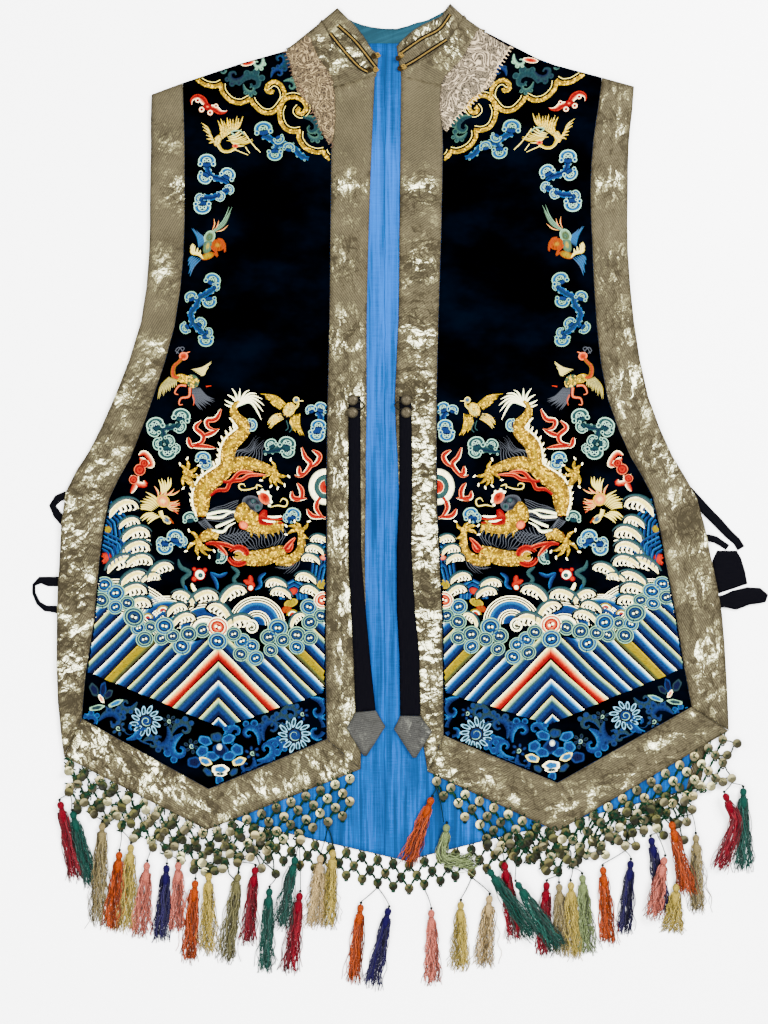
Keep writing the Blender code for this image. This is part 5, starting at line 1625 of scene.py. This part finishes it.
scaled(DRAGON_BACK, DRAGON_WIDTHS)
for line, widths, _ in strokes("""
-177,621 -164,621 -148,619 -129,612: 13 17 18 17 12: ;
-139,625 -123,623 -112,614 -110,602 -111,591: 7 12 11 9 6: ;
-193,521 -179,515 -164,516 -151,520 -141,524: 12 16 14 11 8: ; -203,596 -212,594 -222,599: 8 13 9: ;
-230,542 -235,535 -240,529: 5 7 8: """):
    scaled(line, np.array(widths))
fins = spaced(smooth_line(DRAGON_BACK, 6), 5.2)
half = np.interp(np.linspace(0, 1, len(fins)), np.linspace(0, 1, len(DRAGON_WIDTHS)), DRAGON_WIDTHS) / 2
sides = beside(fins, 1.0) - fins
for place, side, reach in list(zip(fins, sides, half))[4:]:
    root = place + side * (reach + 0.4)
    fin = [root, root + side * 2.0 + (0.6, -2.0), root + side * 3.6 + (0.4, -4.0)]
    design.stroke(fin, 2.6 * LEAF, "white cream", 0)
design.stroke((fins + sides * (half + 0.5)[:, None])[4:], 2.2, "white cream", 2, curved=False)
for end, bend in table("""
-188,431 -3; -179,431 -4; -168,433 -5; -160,437 -6; -154,443 -7; -152,450 -8; -153,457 -9; -155,466 -11;
-193,438 -2; -196,444 1; -196,449 2"""):
    root = np.array((-180, 450))
    middle = (root + end) / 2 + np.array([-0.1, 1.0]) * bend
    design.stroke([root, middle, end], 3.0 * TAIL, "white white pale", 2)
for (x, y), *ends in lines("""
-140,525 -144,512 -126,529 -130,538 -144,539 -154,533 -137,541; -239,525 -238,511 -245,517 -226,518 -223,528
-242,541; -225,602 -238,612 -235,591 -225,619 -214,618 -209,612 -231,604; -111,590 -117,581 -103,581 -126,585
-126,594 -102,599"""):
    claw(design, x, y, ends)
for row in """
-191,514 -188,502 -173,498 -166,487 -161,483 / -157,512 -154,504 -156,498 -149,489 / 10 0.75 3;
-180,557 -193,562 -206,564 -217,572 / -183,577 -194,579 -206,580 -225,581 / 10 0.75 2.4;
-204,595 -193,602 -185,610 -169,610 / -131,585 -127,595 -131,604 -139,610 / 18 0.9 3;
-193,585 -198,593 -204,597 / -164,593 -173,602 -185,606 / 10 0.75 2;
-225,579 -218,585 -212,593 / -218,577 -210,583 -204,591 / 7 0.75 1.5;
-135,622 -131,631 -140,631 / -110,618 -112,629 -127,641 / 9 0.75 1.6""".split(";"):
    first, last, figures = lines(row, "/")
    (count,), (width,), (waves,) = figures
    strands(design, first, last, count, width, waves)
for line in lines("""
-184,581 -192,585 -198,591 -210,590; -185,577 -196,582 -206,586; -182,568 -191,570 -200,575 -216,575;
-185,570 -196,568 -216,572"""):
    design.stroke(line, 3.0 * TAIL[::-1] + 0.4, "white white pale", 3)
for line in lines("""
-212,551 -204,545 -194,544 -189,535 -177,533 -168,528 -150,528; -198,535 -189,535 -179,525 -164,525;
-210,603 -194,606 -183,610 -173,610; -217,605 -208,604 -200,610 -193,618; -131,616 -127,608 -117,598;
-132,610 -124,612 -120,604"""):
    design.stroke(line, 4.6 * ROUND, "pink coral", 3)
    design.stroke(line, 3.4 * TAIL, "coral red red", 4)
for radius, width, level, names in table("""
12.4 2.0 3 coral pink; 9.8 5.0 4 red red coral; 6.0 1.2 4 pink white; 3.4 5.0 4 gold straw"""):
    design.stroke(oval(-181, 618, radius, radius * 0.92, 0, -150, 320, 24), width * ROUND, names, level,
                  curved=False)

# %% [markdown]
# The head: dark brow, gold cheek and jaw, red mouth with teeth, and long curling whiskers.

# %% The dragon's head, the flames round it and its pearl
HEAD = table("""
-165,560 12 9 20 3 ash slate ash silk; -176,570 8.5 12 20 4 straw gold old gold;
-166,577 11 9 50 4 straw gold old gold; -175,584 5.4 4.6 30 5 pink pink coral silk;
-151,553 6.5 8.5 -35 5 red coral pink silk; -159,564 3.8 3.8 0 5 slate grey ash silk;
-152,579 10 6.5 20 4 red red coral silk; -154,588 20 5.6 2 4 straw gold old gold;
-139,585 9 6 -8 4 straw gold old gold; -164,557 3.4 3 0 5 ash grey slate silk""")
for (x, y), across, down, degrees, level, words in HEAD:
    names, thread = words.rsplit(maxsplit=1)
    outline = oval(x, y, across, down, degrees, count=20)
    design.blob(outline, rings(names, 0.05, 0.55, 1), level, thread, crown=0.5)
for line, (width, level), names in strokes("""
-160,541 -169,544 -178,544 -180,539 -175,538 -173,541: 1.6 4: cream straw;
-160,544 -160,539 -154,541: 1.6 4: cream straw;
-145,564 -137,562 -128,563 -126,557 -131,554 -134,558: 1.6 4: cream straw;
-160,547 -152,547 -146,551 -144,560: 2.2 6: white pink;
-158,574 -151,568 -149,575 -131,577: 4.4 5: red coral; -149,582 -140,583 -131,581: 3.6 5: red coral;
-148,574 -142,575 -132,574: 2.4 6: white white; -154,578 -146,580 -139,580: 2 6: white white"""):
    design.stroke(line, width * ROUND, names, level)
for x, y in table("""
-166 593; -158 594; -150 594; -142 592; -136 590; -131 588"""):
    design.stroke([(x, y - 3), (x - 0.4, y), (x + 0.6, y + 4.5)], 2.4 * LEAF, "gold straw", 5, "gold")
for x, y in table("""
-158 548; -154 545; -148 547; -145 552; -144 558; -146 562"""):
    design.dot(x, y, 1.8, "white", 6, "pale")
design.dot(-159, 564, 1.6, "black", 6, "white")
FLAMES = """
-200,454 -206,465 -216,467 -214,475 -204,478 / -222,467 -229,475 -220,484 -223,492 -235,494 / -220,484
-212,482 -202,476 / -233,496 -220,496 -206,498 / -237,486 -235,494 -231,498;
-110,497 -106,508 -100,516 -110,529 -118,528 / -98,500 -90,506 -93,514 -102,520 / -113,518 -112,527
-104,525; -115,537 -110,545 -111,554 -119,557 / -121,546 -119,554 -104,554;
-83,548 -90,554 -94,564 -88,574 -83,577 / -104,566 -98,574 -83,575"""
for tongues in FLAMES.split(";"):
    flame(design, lines(tongues, "/"))
bat_parts = lines("""
-292,506 -286,503 -280,509 -277,517 -282,519; -291,509 -284,514 -280,516;
-301,529 -295,533 -297,541 -301,548; -293,529 -295,537 -285,539 -286,534""")
for line in bat_parts:
    design.stroke(line, 6.0 * ROUND, "white pink coral red", 1)
for x, y, radius in ((-291, 522, 6.6), (-286, 515, 5.0), (-298, 533, 5.0)):
    design.blob(oval(x, y, radius), rings("red coral red red pink", 0.05, 0.5, 0.55, 0.8, 1), 2)
for level, (radius, names) in enumerate((
        (19.5, "white white white grey"), (13.0, "sage grey grey teal"), (7.4, "red coral coral white")), 1):
    outline = oval(-83, 541, radius, radius * 1.06, count=28)
    design.blob(outline, rings(names, 0.05, 0.8, 0.9, 1), level, crown=0.1)
print("with the dragon:", len(design.patches), "patches")

# %% [markdown]
# Below the dragon the sea breaks against rocks: crests, round arches, a row of scroll heads, and
# then the deep water as straight slanting stripes that meet in a point over the middle line. Each
# stripe runs from pale silk at its upper edge to dark silk at its lower edge. The black border under
# it carries a blue lotus and chrysanthemums among leaf scrolls.

# %% Sea, stripes and border
MIDDLE = -203
BORDER_TOP = places("-346,750 -200,811 -82,771")
SCROLL_ROW = places("""
-347,654 -330,668 -318,670 -305,687 -295,706 -280,712 -263,706 -244,716 -221,712 -204,712 -186,712
-174,724 -162,732 -147,721 -131,712 -115,716 -101,694 -86,676 -78,668""")
BRIGHT_STRIPES = {4: "white cream pink coral red red", 9: "straw yellow yellow yellow olive bark"}
STRIPE_TONES = ("white frost sky blue blue navy navy", "cream pale grey blue blue navy navy")


def stripe(level_mm, height, names, hand, end_x):
    """One slanting band from the middle line, or from the scroll row, down to the border."""
    colours = shades(names)
    top = np.array(SCROLL_ROW).T
    foot = np.array(BORDER_TOP).T
    columns = []
    for share in np.linspace(0, 1, len(colours)):
        reach = np.linspace(0, abs(end_x - MIDDLE), 400)
        x = MIDDLE + hand * reach
        down = level_mm + share * height + reach
        open_part = (down > np.interp(x, *top)) & (down < np.interp(x, *foot) - 0.6)
        if not open_part.any():
            return
        marks = np.linspace(reach[open_part][0], reach[open_part][-1], 36)
        wobble = 0.5 * np.sin(marks / 9.0 + level_mm)
        columns.append(np.stack([MIDDLE + hand * marks, level_mm + share * height + marks + wobble], axis=1))
    places = np.stack(columns, axis=1)
    rise = 0.2 + 0.45 * (1 - np.linspace(-1, 1, len(colours)) ** 2)
    stitches = np.stack([np.broadcast_to(places[:, :1, 1] * 1.4, places.shape[:2]),
                         np.broadcast_to(np.linspace(0, height, len(colours)), places.shape[:2])], axis=-1)
    design.lay(places, rise[None], colours[None], stitches, grid_faces(36, len(colours)), 0, "silk")


STRIPE_TOPS = table(
    "798.6 777.7 758.1 736.2 719.6 700.6 682.1 664.2 646.2 628.3 610.4 592.5 574.6 556.6 539.8")[0]
for number, (top, foot) in enumerate(zip(STRIPE_TOPS, [STRIPE_TOPS[0] + 11.6] + STRIPE_TOPS)):
    names = BRIGHT_STRIPES.get(number, STRIPE_TONES[number % 2])
    for hand, end_x in ((-1, -349), (1, -78)):
        stripe(top, foot - top - 1.9, names, hand, end_x)
# %% [markdown]
# Rocks stand in the surf. Over them come round arches, wave crests and the small emblems between them.

# %% Rocks, waves and emblems
ROCKS = strokes("""
-325,557 -307,575 -301,618: -4.2 2 6 1: ; -332,591 -310,602 -306,618: -4.2 3 5 2: ;
-81,598 -96,612 -100,649: 4.2 2 4 1: ; -81,624 -89,631 -93,649: 4.2 2 3 2: """)
for line, (across, down, count, level), _ in ROCKS:
    for number in range(count):
        path = np.array(line, float) + (across * number, down * number)
        design.stroke(path, 5.2, "black black", level - 0.2, curved=False, crown=0.0)
        names = "sky sky blue blue" if number % 2 else "sky blue blue navy"
        design.stroke(path, 2.7, names, level, curved=False)
for number in range(4):
    path = np.array(((-134, 667), (-132, 652), (-118, 645), (-106, 652), (-104, 667)), float)
    path = (-119, 667) + (path - (-119, 667)) * (1 - number * 0.21)
    design.stroke(path, 3.4, "navy blue blue sky" if number % 2 else "navy blue sky sky", 1, curved=False)
for x, y, across, down, names in table("""
-327 589 5 4 yellow old; -331 621 9 6 coral red; -120 658 6 4 coral red; -122 671 8 4.5 yellow straw;
-87 650 6 5 yellow straw; -85 619 5 4 pink coral; -127 678 6 4 orange red"""):
    inner, outer = names.split()
    design.blob(oval(x, y, across, down, -20), rings(f"{inner} {inner} {outer}", 0.05, 0.6, 1), 2)

LINES = (("white white", 1.0), ("gap", 1.7), ("white white", 1.0), ("gap", 1.7), ("white pale", 1.0))
SWELL = LINES + (("pale sky blue", 4.5), ("blue navy", 4.0)) + LINES + (("sky blue blue", 4.0),)
SMALL_ARCH = (("yellow straw", 1.4), ("gap", 0.6), ("white cream", 1.3), ("gap", 0.5), ("coral red", 1.6))
ARCHES = (
    (-318, 726, 82, SWELL + (("blue blue navy", 6.0),) + LINES, 225, 110, 1.0),
    (-260, 692, 36, SWELL, 200, 120, 0.8),
    (-218, 702, 34,
     LINES + (("sky blue blue", 5.0), ("blue navy", 5.0)) + LINES[:3] + (("white cream", 6.0),),
     185, 170, 0.95),
    (-289, 629, 30, LINES + (("sky blue", 4.0),), 200, 90, 1.0),
    (-160, 695, 31.5, LINES + (("sky sky blue", 4.5), ("blue blue blue", 5.0)) + LINES
     + (("sky blue blue", 4.5), ("blue navy", 3.0)), 180, 185, 1.0))
for number, (x, y, radius, bands, start, sweep, flat) in enumerate(ARCHES):
    arch(design, x, y, radius, bands, start, sweep, flat, number * 0.45)
for x, y, radius in ((-265, 681, 7.5), (-282, 688, 6.0), (-120, 685, 7.0)):
    arch(design, x, y, radius, SMALL_ARCH, level=2)
CRESTS = table("""
126.5 506 13 -6 1; 132 522 9 0 1; 139 533 12 0 1; 139 547 12 0 1; 125 562 13 -4 1; 143 560 11 8 1;
137 577 12 -6 1; 153 577 8 0 1; 163 568 11 -14 1; 136 590 12 0 1; 141 603 11 0 1; 182 596 10 10 -1;
207 596 12 0 1; 179 608 9 -8 1; 219 610 12 25 -1; 235 592 12 -16 1; 186 618 10 -6 1; 241 622 13 0 1;
274 583 9 -6 -1; 279 592 9 0 -1; 304 577 9 0 -1; 309 590 9 8 -1; 309 558 8 0 -1; 313 549 8 0 -1;
318 539 8 0 -1; 298 618 8 -30 1""")
for number, (px, py, radius, degrees, hand) in enumerate(CRESTS):
    x, y = (px - 400) * 1.12, (py - 4) * 1.12
    crest(design, x, y, radius * 0.86, degrees, hand, 2 + number * 0.07)
SYMBOLS = strokes("""
-248,622 -245,631 -235,637 -243,645 -241,655: 5: grey grey teal;
-212,637 -206,647 -204,656: 4.4: sky blue navy; -212,637 -202,641 -193,637: 4.4: sky blue navy;
-189,630 -181,637 -186,645 -179,653: 4.4: grey grey teal;
-150,637 -157,643 -156,651 -162,656: 4.4: sky blue navy; -233,649 -230,656 -225,660: 4: white cream;
-241,651 -238,660 -233,662: 4: sky blue navy; -168,640 -167,647 -173,649: 6: red coral red;
-175,646 -166,649 -163,653: 5.4: red coral red""")
for line, (width,), names in SYMBOLS:
    design.stroke(line, width * ROUND, names, 1)
for x, y, radius, names in table("""
-224 639 7 white red; -223 640 4.4 grey white; -230 644 3.4 coral red; -218 634 2.6 coral red;
-230 633 2.4 coral red; -167 654 3.4 white coral"""):
    inner, outer = names.split()
    design.blob(oval(x, y, radius), rings(f"{inner} {inner} {outer} {outer}", 0.05, 0.6, 0.75, 1),
                2 if radius > 5 else 3)

# %% [markdown]
# A row of scroll heads parts the waves from the deep water. The flowers and leaves of the border lie
# below the stripes.

# %% Scroll heads and the border's flowers
SCROLLS = table("""
105 585 9.4 coral; 102 600 9 scroll; 116 593 10 deep; 116 607 8 scroll; 128 603 8 scroll;
134.5 617 11 scroll; 139 628 8 scroll; 145 639 9 scroll; 151 627 7 scroll; 165 626 10 scroll;
162 638 8 scroll; 173 636 8 scroll; 182 646 9.6 deep; 189 634 9 scroll; 203 630 8.6 scroll;
218 641 10 scroll; 218 627 11 coral; 234 634 8 scroll; 242.5 641 8.6 scroll; 241 654 8 scroll;
252 646 8 deep; 256 658 8.4 scroll; 269 637 9 scroll; 271 650 7.4 scroll; 278 628 10.4 deep;
283 640 8 scroll; 297 635 9.4 scroll; 297 647 8 scroll; 310 638 8 scroll; 310 622 8.6 scroll;
309 607 9 deep; 321 616 8 scroll; 323 600 9.4 coral""")
for number, (px, py, radius, tone) in enumerate(SCROLLS):
    x, y = (px - 400) * 1.12, (py - 4) * 1.12
    cloud_head(design, x, y, radius * 1.1, 25 * math.sin(number * 1.7), tone if number % 3 else "deep",
               4.6 + number % 2, 0.92, False)
design.coil(-166, 698, 8.6, 200, 1, 2.2, "white pale", 6.5, 1.8)

for (x, y), radius, petals, words in table("""
-284,803 18.5 12 frost dusk blue; -118,819 20 13 frost dusk blue; -315,811 9 6 dusk blue navy;
-258,803 8 6 dusk navy navy; -233,831 9 6 dusk navy blue; -109,795 8 6 navy blue navy;
-165,839 9 6 navy blue dusk"""):
    names, heart = words.rsplit(maxsplit=1)
    flower(design, x, y, radius, petals, names, heart, 1)
for x, y, across, down, degrees, names in table("""
-218 825 9 6 20 blue sky; -205 821 8 6 0 blue dusk; -192 823 9 6 -20 blue sky; -182 835 8 7 40 blue sky;
-221 837 8 7 -40 blue sky; -218 848 9 5 20 sky cream; -180 848 9 5 -20 sky cream;
-210 842 9 6 10 blue sky; -191 842 9 6 -10 blue sky; -201 857 11 6 0 sky white; -201 862 8 3 0 dusk white;
-230 849 9 7 0 navy blue; -215 860 7 4 40 blue dusk; -186 860 6 4 -40 blue dusk; -202 869 5 6 0 blue sky;
-201 836 10 9 0 navy blue; -342 768 5 9 -25 navy dusk; -332 768 4 10 8 navy blue;
-326 773 4 7 40 navy dusk; -339 788 10 3.4 -12 dusk pale; -318 783 10 3.2 -24 sky pale;
-334 778 2.4 6 -30 pink white"""):
    petal(design, x, y, across, down, degrees, *names.split())
design.blob(oval(-202, 832, 3.4, 4.0), rings("white sky", 0.05, 1), 4)
for (x, y), size, degrees, hand, names in table("""
-322,801 9 30 1 dusk blue navy; -305,785 7 200 1 dusk blue; -346,803 7 0 1 sky blue blue;
-298,813 8 90 -1 sky blue blue; -266,823 9 150 1 dusk blue navy; -248,833 10 250 -1 sky blue blue;
-243,811 8 10 1 dusk blue; -186,817 8 300 1 sky blue blue; -166,817 9 20 -1 sky blue navy;
-146,811 9 330 1 dusk blue navy; -149,837 9 100 -1 sky blue blue; -132,803 8 10 1 dusk blue;
-91,789 9 90 1 sky blue navy; -91,813 10 120 1 sky blue navy; -122,793 7 40 1 dusk blue;
-170,853 7 160 1 blue navy; -138,831 7 60 1 sky blue blue; -278,827 6 40 1 dusk blue"""):
    leaf_curl(design, x, y, size * 1.12, degrees, hand, names, 1)
for line in lines("""
-329,787 -318,799 -306,817 -298,817; -296,815 -290,825 -274,831; -246,821 -254,835 -246,845;
-158,809 -146,803 -130,807; -174,857 -156,851 -142,843"""):
    design.stroke(line, 2.4 * TAIL, "dusk blue navy", 0)
print("whole design:", len(design.patches), "patches")


# %% [markdown]
# The right front carries the same design mirrored, as such pairs were drawn from one pattern. The
# two fronts differ a little in cut, so a table of their seams moves each point to its own front. A
# ray down to the satin gives the height, and stitches that would pass under a band are left out.

# %% Laying the design on both fronts
SEAMS = np.array(table("""
53 -128 -243 96 226 6; 75 -100 -242 74 222 7; 94 -77 -241 49 216 4; 166 -77 -241 48 213 6;
262 -78 -242 46 215 2; 354 -79 -252 43 220 0; 444 -81 -276 41 232 0; 511 -82 -301 41 258 0;
556 -82 -325 41 283 3; 623 -82 -336 44 297 -2; 690 -83 -342 47 308 6; 757 -83 -351 48 318 4;
823 -82 -356 49 326 10"""))


def on_right(places):
    """Places on the left front carried over to the right one."""
    down = places[:, 1]
    left_in, left_out, right_in, right_out, drop = (np.interp(down, SEAMS[:, 0], column)
                                                    for column in SEAMS[:, 1:].T)
    share = (places[:, 0] - left_in) / (left_out - left_in)
    return np.stack([right_in + (right_out - right_in) * share, down - drop * share], axis=1)


def silk_stitch():
    finish = Finish("silk_stitch")
    streak = finish.threads(finish.weave(), 1500, 180, 2, 0.6)
    shade = finish.darker(0.4)
    colour = finish.mix(finish.ramp(streak, 0.3, 0.58), shade, finish.thread())
    finish.set(Base_Color=colour, Roughness=0.6, Specular_IOR_Level=0.01)
    return finish.relief(streak, 0.12, 0.6)


def gold_stitch():
    """Couched gold: small scales, each with a painted glint of its own, and dark silk showing between them.
    """
    finish = Finish("gold_stitch")
    place = finish.place()
    speck = finish.noise(place, 900, 3, 0.7)
    own = finish.facets(place, 520.0)
    gaps = finish.edges(place, 520.0)
    shade = finish.darker(0.55)
    colour = finish.mix(finish.ramp(own + speck * 0.5, 0.2, 0.65), shade, finish.thread())
    # Painted glints: the brightest scales turn pale gold.
    colour = finish.mix(finish.ramp(own + speck * 0.5, 0.85, 1.05), colour, dye((519, 305, 1.9)))
    colour = finish.mix(finish.ramp(gaps, 0.02, 0.12, 0.85, 0.0), colour, THREADS["bark"])
    finish.set(Base_Color=colour, Roughness=0.5, Specular_IOR_Level=0.01)
    return finish.relief(speck + gaps * 2.0, 0.25, 0.7)


STITCHES = {"silk": silk_stitch(), "gold": gold_stitch()}


def lay_design(side):
    loop = cut_line("front_" + side)
    for thread, material in STITCHES.items():
        patches = [patch for patch in design.patches if patch[5] == thread]
        places = np.concatenate([patch[0] for patch in patches])
        lifts = np.concatenate([patch[1] for patch in patches])
        if side == "right":
            places = on_right(places)
        distance, inside = rim_distance(places, loop)
        kept = inside & (distance > 0.8)
        ground = np.zeros(len(places))
        ground[kept] = level_on(shells["front_" + side], places[kept])
        points = world(places[:, 0], places[:, 1], ground + lifts)
        faces = []
        first = 0
        for patch in patches:
            corners = patch[4] + first
            faces.append(corners[kept[corners].all(axis=1)])
            first += len(patch[0])
        faces = np.concatenate(faces)
        one = points[faces[:, 1]] - points[faces[:, 0]]
        two = points[faces[:, 2]] - points[faces[:, 0]]
        away = one[:, 0] * two[:, 1] - one[:, 1] * two[:, 0] < 0
        faces[away] = faces[away][:, ::-1]
        used = np.unique(faces)
        renamed = np.zeros(len(points), int)
        renamed[used] = np.arange(len(used))
        work = Bundle()
        work.add(points[used], [renamed[faces]], np.concatenate([patch[2] for patch in patches])[used],
                 np.concatenate([patch[3] for patch in patches])[used])
        work.make(f"{thread}_work_{side}", material)


lay_design("left")
lay_design("right")

# %% [markdown]
# The stand collar closes with corded frogs: a flat strip of brocade edged with gold cord and with
# knots at its end. Two pairs of round metal buttons hold the straps on small loops. All stay as
# they lie in the photo.

# %% Frogs, buttons and collar strips
def on_cloth(x, down, pieces):
    """The highest cloth at a place."""
    heights = []
    for piece in pieces:
        hit = shells[piece].ray_cast(Vector(world(x, down, 900.0)), Vector((0, 0, -1)))[0]
        if hit:
            heights.append(hit.z / MM)
    return max(heights) if heights else 6.0


def laid_cord(bundle, line, radius, pieces, name, lift=0.6):
    line = spaced(smooth_line(line, 6), 1.2)
    heights = np.array([on_cloth(x, down, pieces) for x, down in line]) + lift
    heights = np.convolve(np.pad(heights, 2, "edge"), np.full(5, 0.2), "valid")
    bundle.tube(np.column_stack([line, heights]), radius, 6, THREADS[name])


FROG_CLOTH = {"left": ("collar_left", "neck_piece_left", "front_band_left"),
              "right": ("collar_right", "neck_piece_right", "front_band_right")}
FROG_CORDS = {
    "left": (((-69, 25), (-49, 44), (-27, 72)), ((-78, 34), (-62, 54), (-46, 71), (-36, 77))),
    "right": (((56, 13), (44, 29), (24, 40), (1, 56)), ((52, 41), (32, 54), (15, 65), (4, 71)))}
FROG_KNOTS = {"left": ((-29, 59), (-25, 58), (-34, 74), (-27, 74)),
              "right": ((-2, 62), (1, 58), (0, 73), (4, 71))}
CORD_SILK = silk_finish("cord_silk", 0.6, 900)
for side, cords in FROG_CORDS.items():
    frog = Bundle()
    for line in cords:
        laid_cord(frog, line, 0.9, FROG_CLOTH[side], "tan")
        laid_cord(frog, beside(smooth_line(line, 5), 1.7), 0.8, FROG_CLOTH[side], "black", 0.2)
        laid_cord(frog, beside(smooth_line(line, 5), -1.7), 0.7, FROG_CLOTH[side], "black", 0.2)
    for number, (x, down) in enumerate(FROG_KNOTS[side]):
        height = on_cloth(x, down, FROG_CLOTH[side]) + 0.8
        turns = np.linspace(0, 2 * math.pi * 1.6, 16)
        reach = np.linspace(3.0, 0.8, 16)
        path = np.column_stack([x + np.cos(turns) * reach, down + np.sin(turns) * reach,
                                height + np.linspace(0, 1.4, 16)])
        frog.tube(path, 0.9, 6, THREADS["tan" if number % 2 else "bark"])
    frog.make("cords_frog_" + side, CORD_SILK, ["frog_" + side])


def button_form():
    """A round button: a ball squashed a little, with a ring of chased petals and a rim."""
    bpy.ops.object.select_all(action="DESELECT")
    bpy.ops.mesh.primitive_uv_sphere_add(segments=32, ring_count=16, radius=6.2 * MM)
    ball = bpy.context.object
    points = np.array([tuple(vertex.co) for vertex in ball.data.vertices])
    faces = [tuple(face.vertices) for face in ball.data.polygons]
    bpy.data.objects.remove(ball, do_unlink=True)
    turn = np.arctan2(points[:, 1], points[:, 0])
    out = np.hypot(points[:, 0], points[:, 1]) / (6.2 * MM)
    chased = 0.35 * np.cos(turn * 8) * np.exp(-((out - 0.62) / 0.16) ** 2)
    chased += 0.4 * np.cos(out * 16.0) * np.exp(-((out - 0.2) / 0.25) ** 2)
    points[:, 2] = points[:, 2] * 0.72 + chased * MM * (points[:, 2] > 0)
    return points, faces


BUTTON_POINTS, BUTTON_FACES = button_form()
BUTTON_METAL = metal_finish("button_metal", 0.6)
BUTTONS = {"left": ((-53, 444), (-53, 458), 1), "right": ((7, 444), (7, 458), -1)}
for side, (upper, lower, way) in BUTTONS.items():
    pair = Bundle()
    low = min(vertex.co.z for vertex in frame["nodes"]["button_pair_" + side].data.vertices) / MM
    top = max(vertex.co.z for vertex in frame["nodes"]["button_pair_" + side].data.vertices) / MM
    for x, down in (upper, lower):
        pair.add(BUTTON_POINTS + world(x, down, top - 4.6), [[face] for face in BUTTON_FACES],
                 dye((35, 29, 18)))
    line = [(upper[0] + way * 2, upper[1] + 3, top - 3), (upper[0] + way * 9, upper[1] + 2, top - 3.6),
            (upper[0] + way * 13, upper[1] + 6, top - 4), (upper[0] + way * 9, upper[1] + 10.5, top - 3.6),
            (upper[0] + way * 2, upper[1] + 9, top - 3)]
    pair.tube(smooth_line(line, 4), 0.8, 6, dye((4.0, 3.7, 3.1)))
    pair.make("buttons_" + side, BUTTON_METAL, ["button_pair_" + side])
    print(side, "buttons from", round(low, 1), "to", round(top, 1), "mm")

# %% [markdown]
# The lace pieces end in a crocheted edge of small loops. Each loop is a thin thread; they sit along
# the outer side of the lace, where the photo shows them over the black satin.

# %% Lace edges
LACE_EDGES = {"left": (places("-129,57 -121,80 -109,105 -94,134 -78,159"), (63, 37, 23), -1),
              "right": (places("124,52 110,75 91,102 73,121 55,139"), (562, 407, 217), 1)}
for side, (line, colour, way) in LACE_EDGES.items():
    edge = spaced(smooth_line(line, 6), 4.4)
    loops = Bundle()
    for place, aside in zip(edge, beside(edge, way) - edge):
        along = np.array([aside[1], -aside[0]])
        turns = np.linspace(-0.4, math.pi + 0.4, 9)
        ring = place + np.outer(np.cos(turns) * 2.4, along) + np.outer(np.sin(turns) * 3.4, aside)
        height = on_cloth(*place, ("front_" + side, "lace_" + side)) + 0.4
        loops.tube(np.column_stack([ring, np.full(9, height)]), 0.55, 4, dye(colour))
    loops.make("picots_" + side, CORD_SILK)
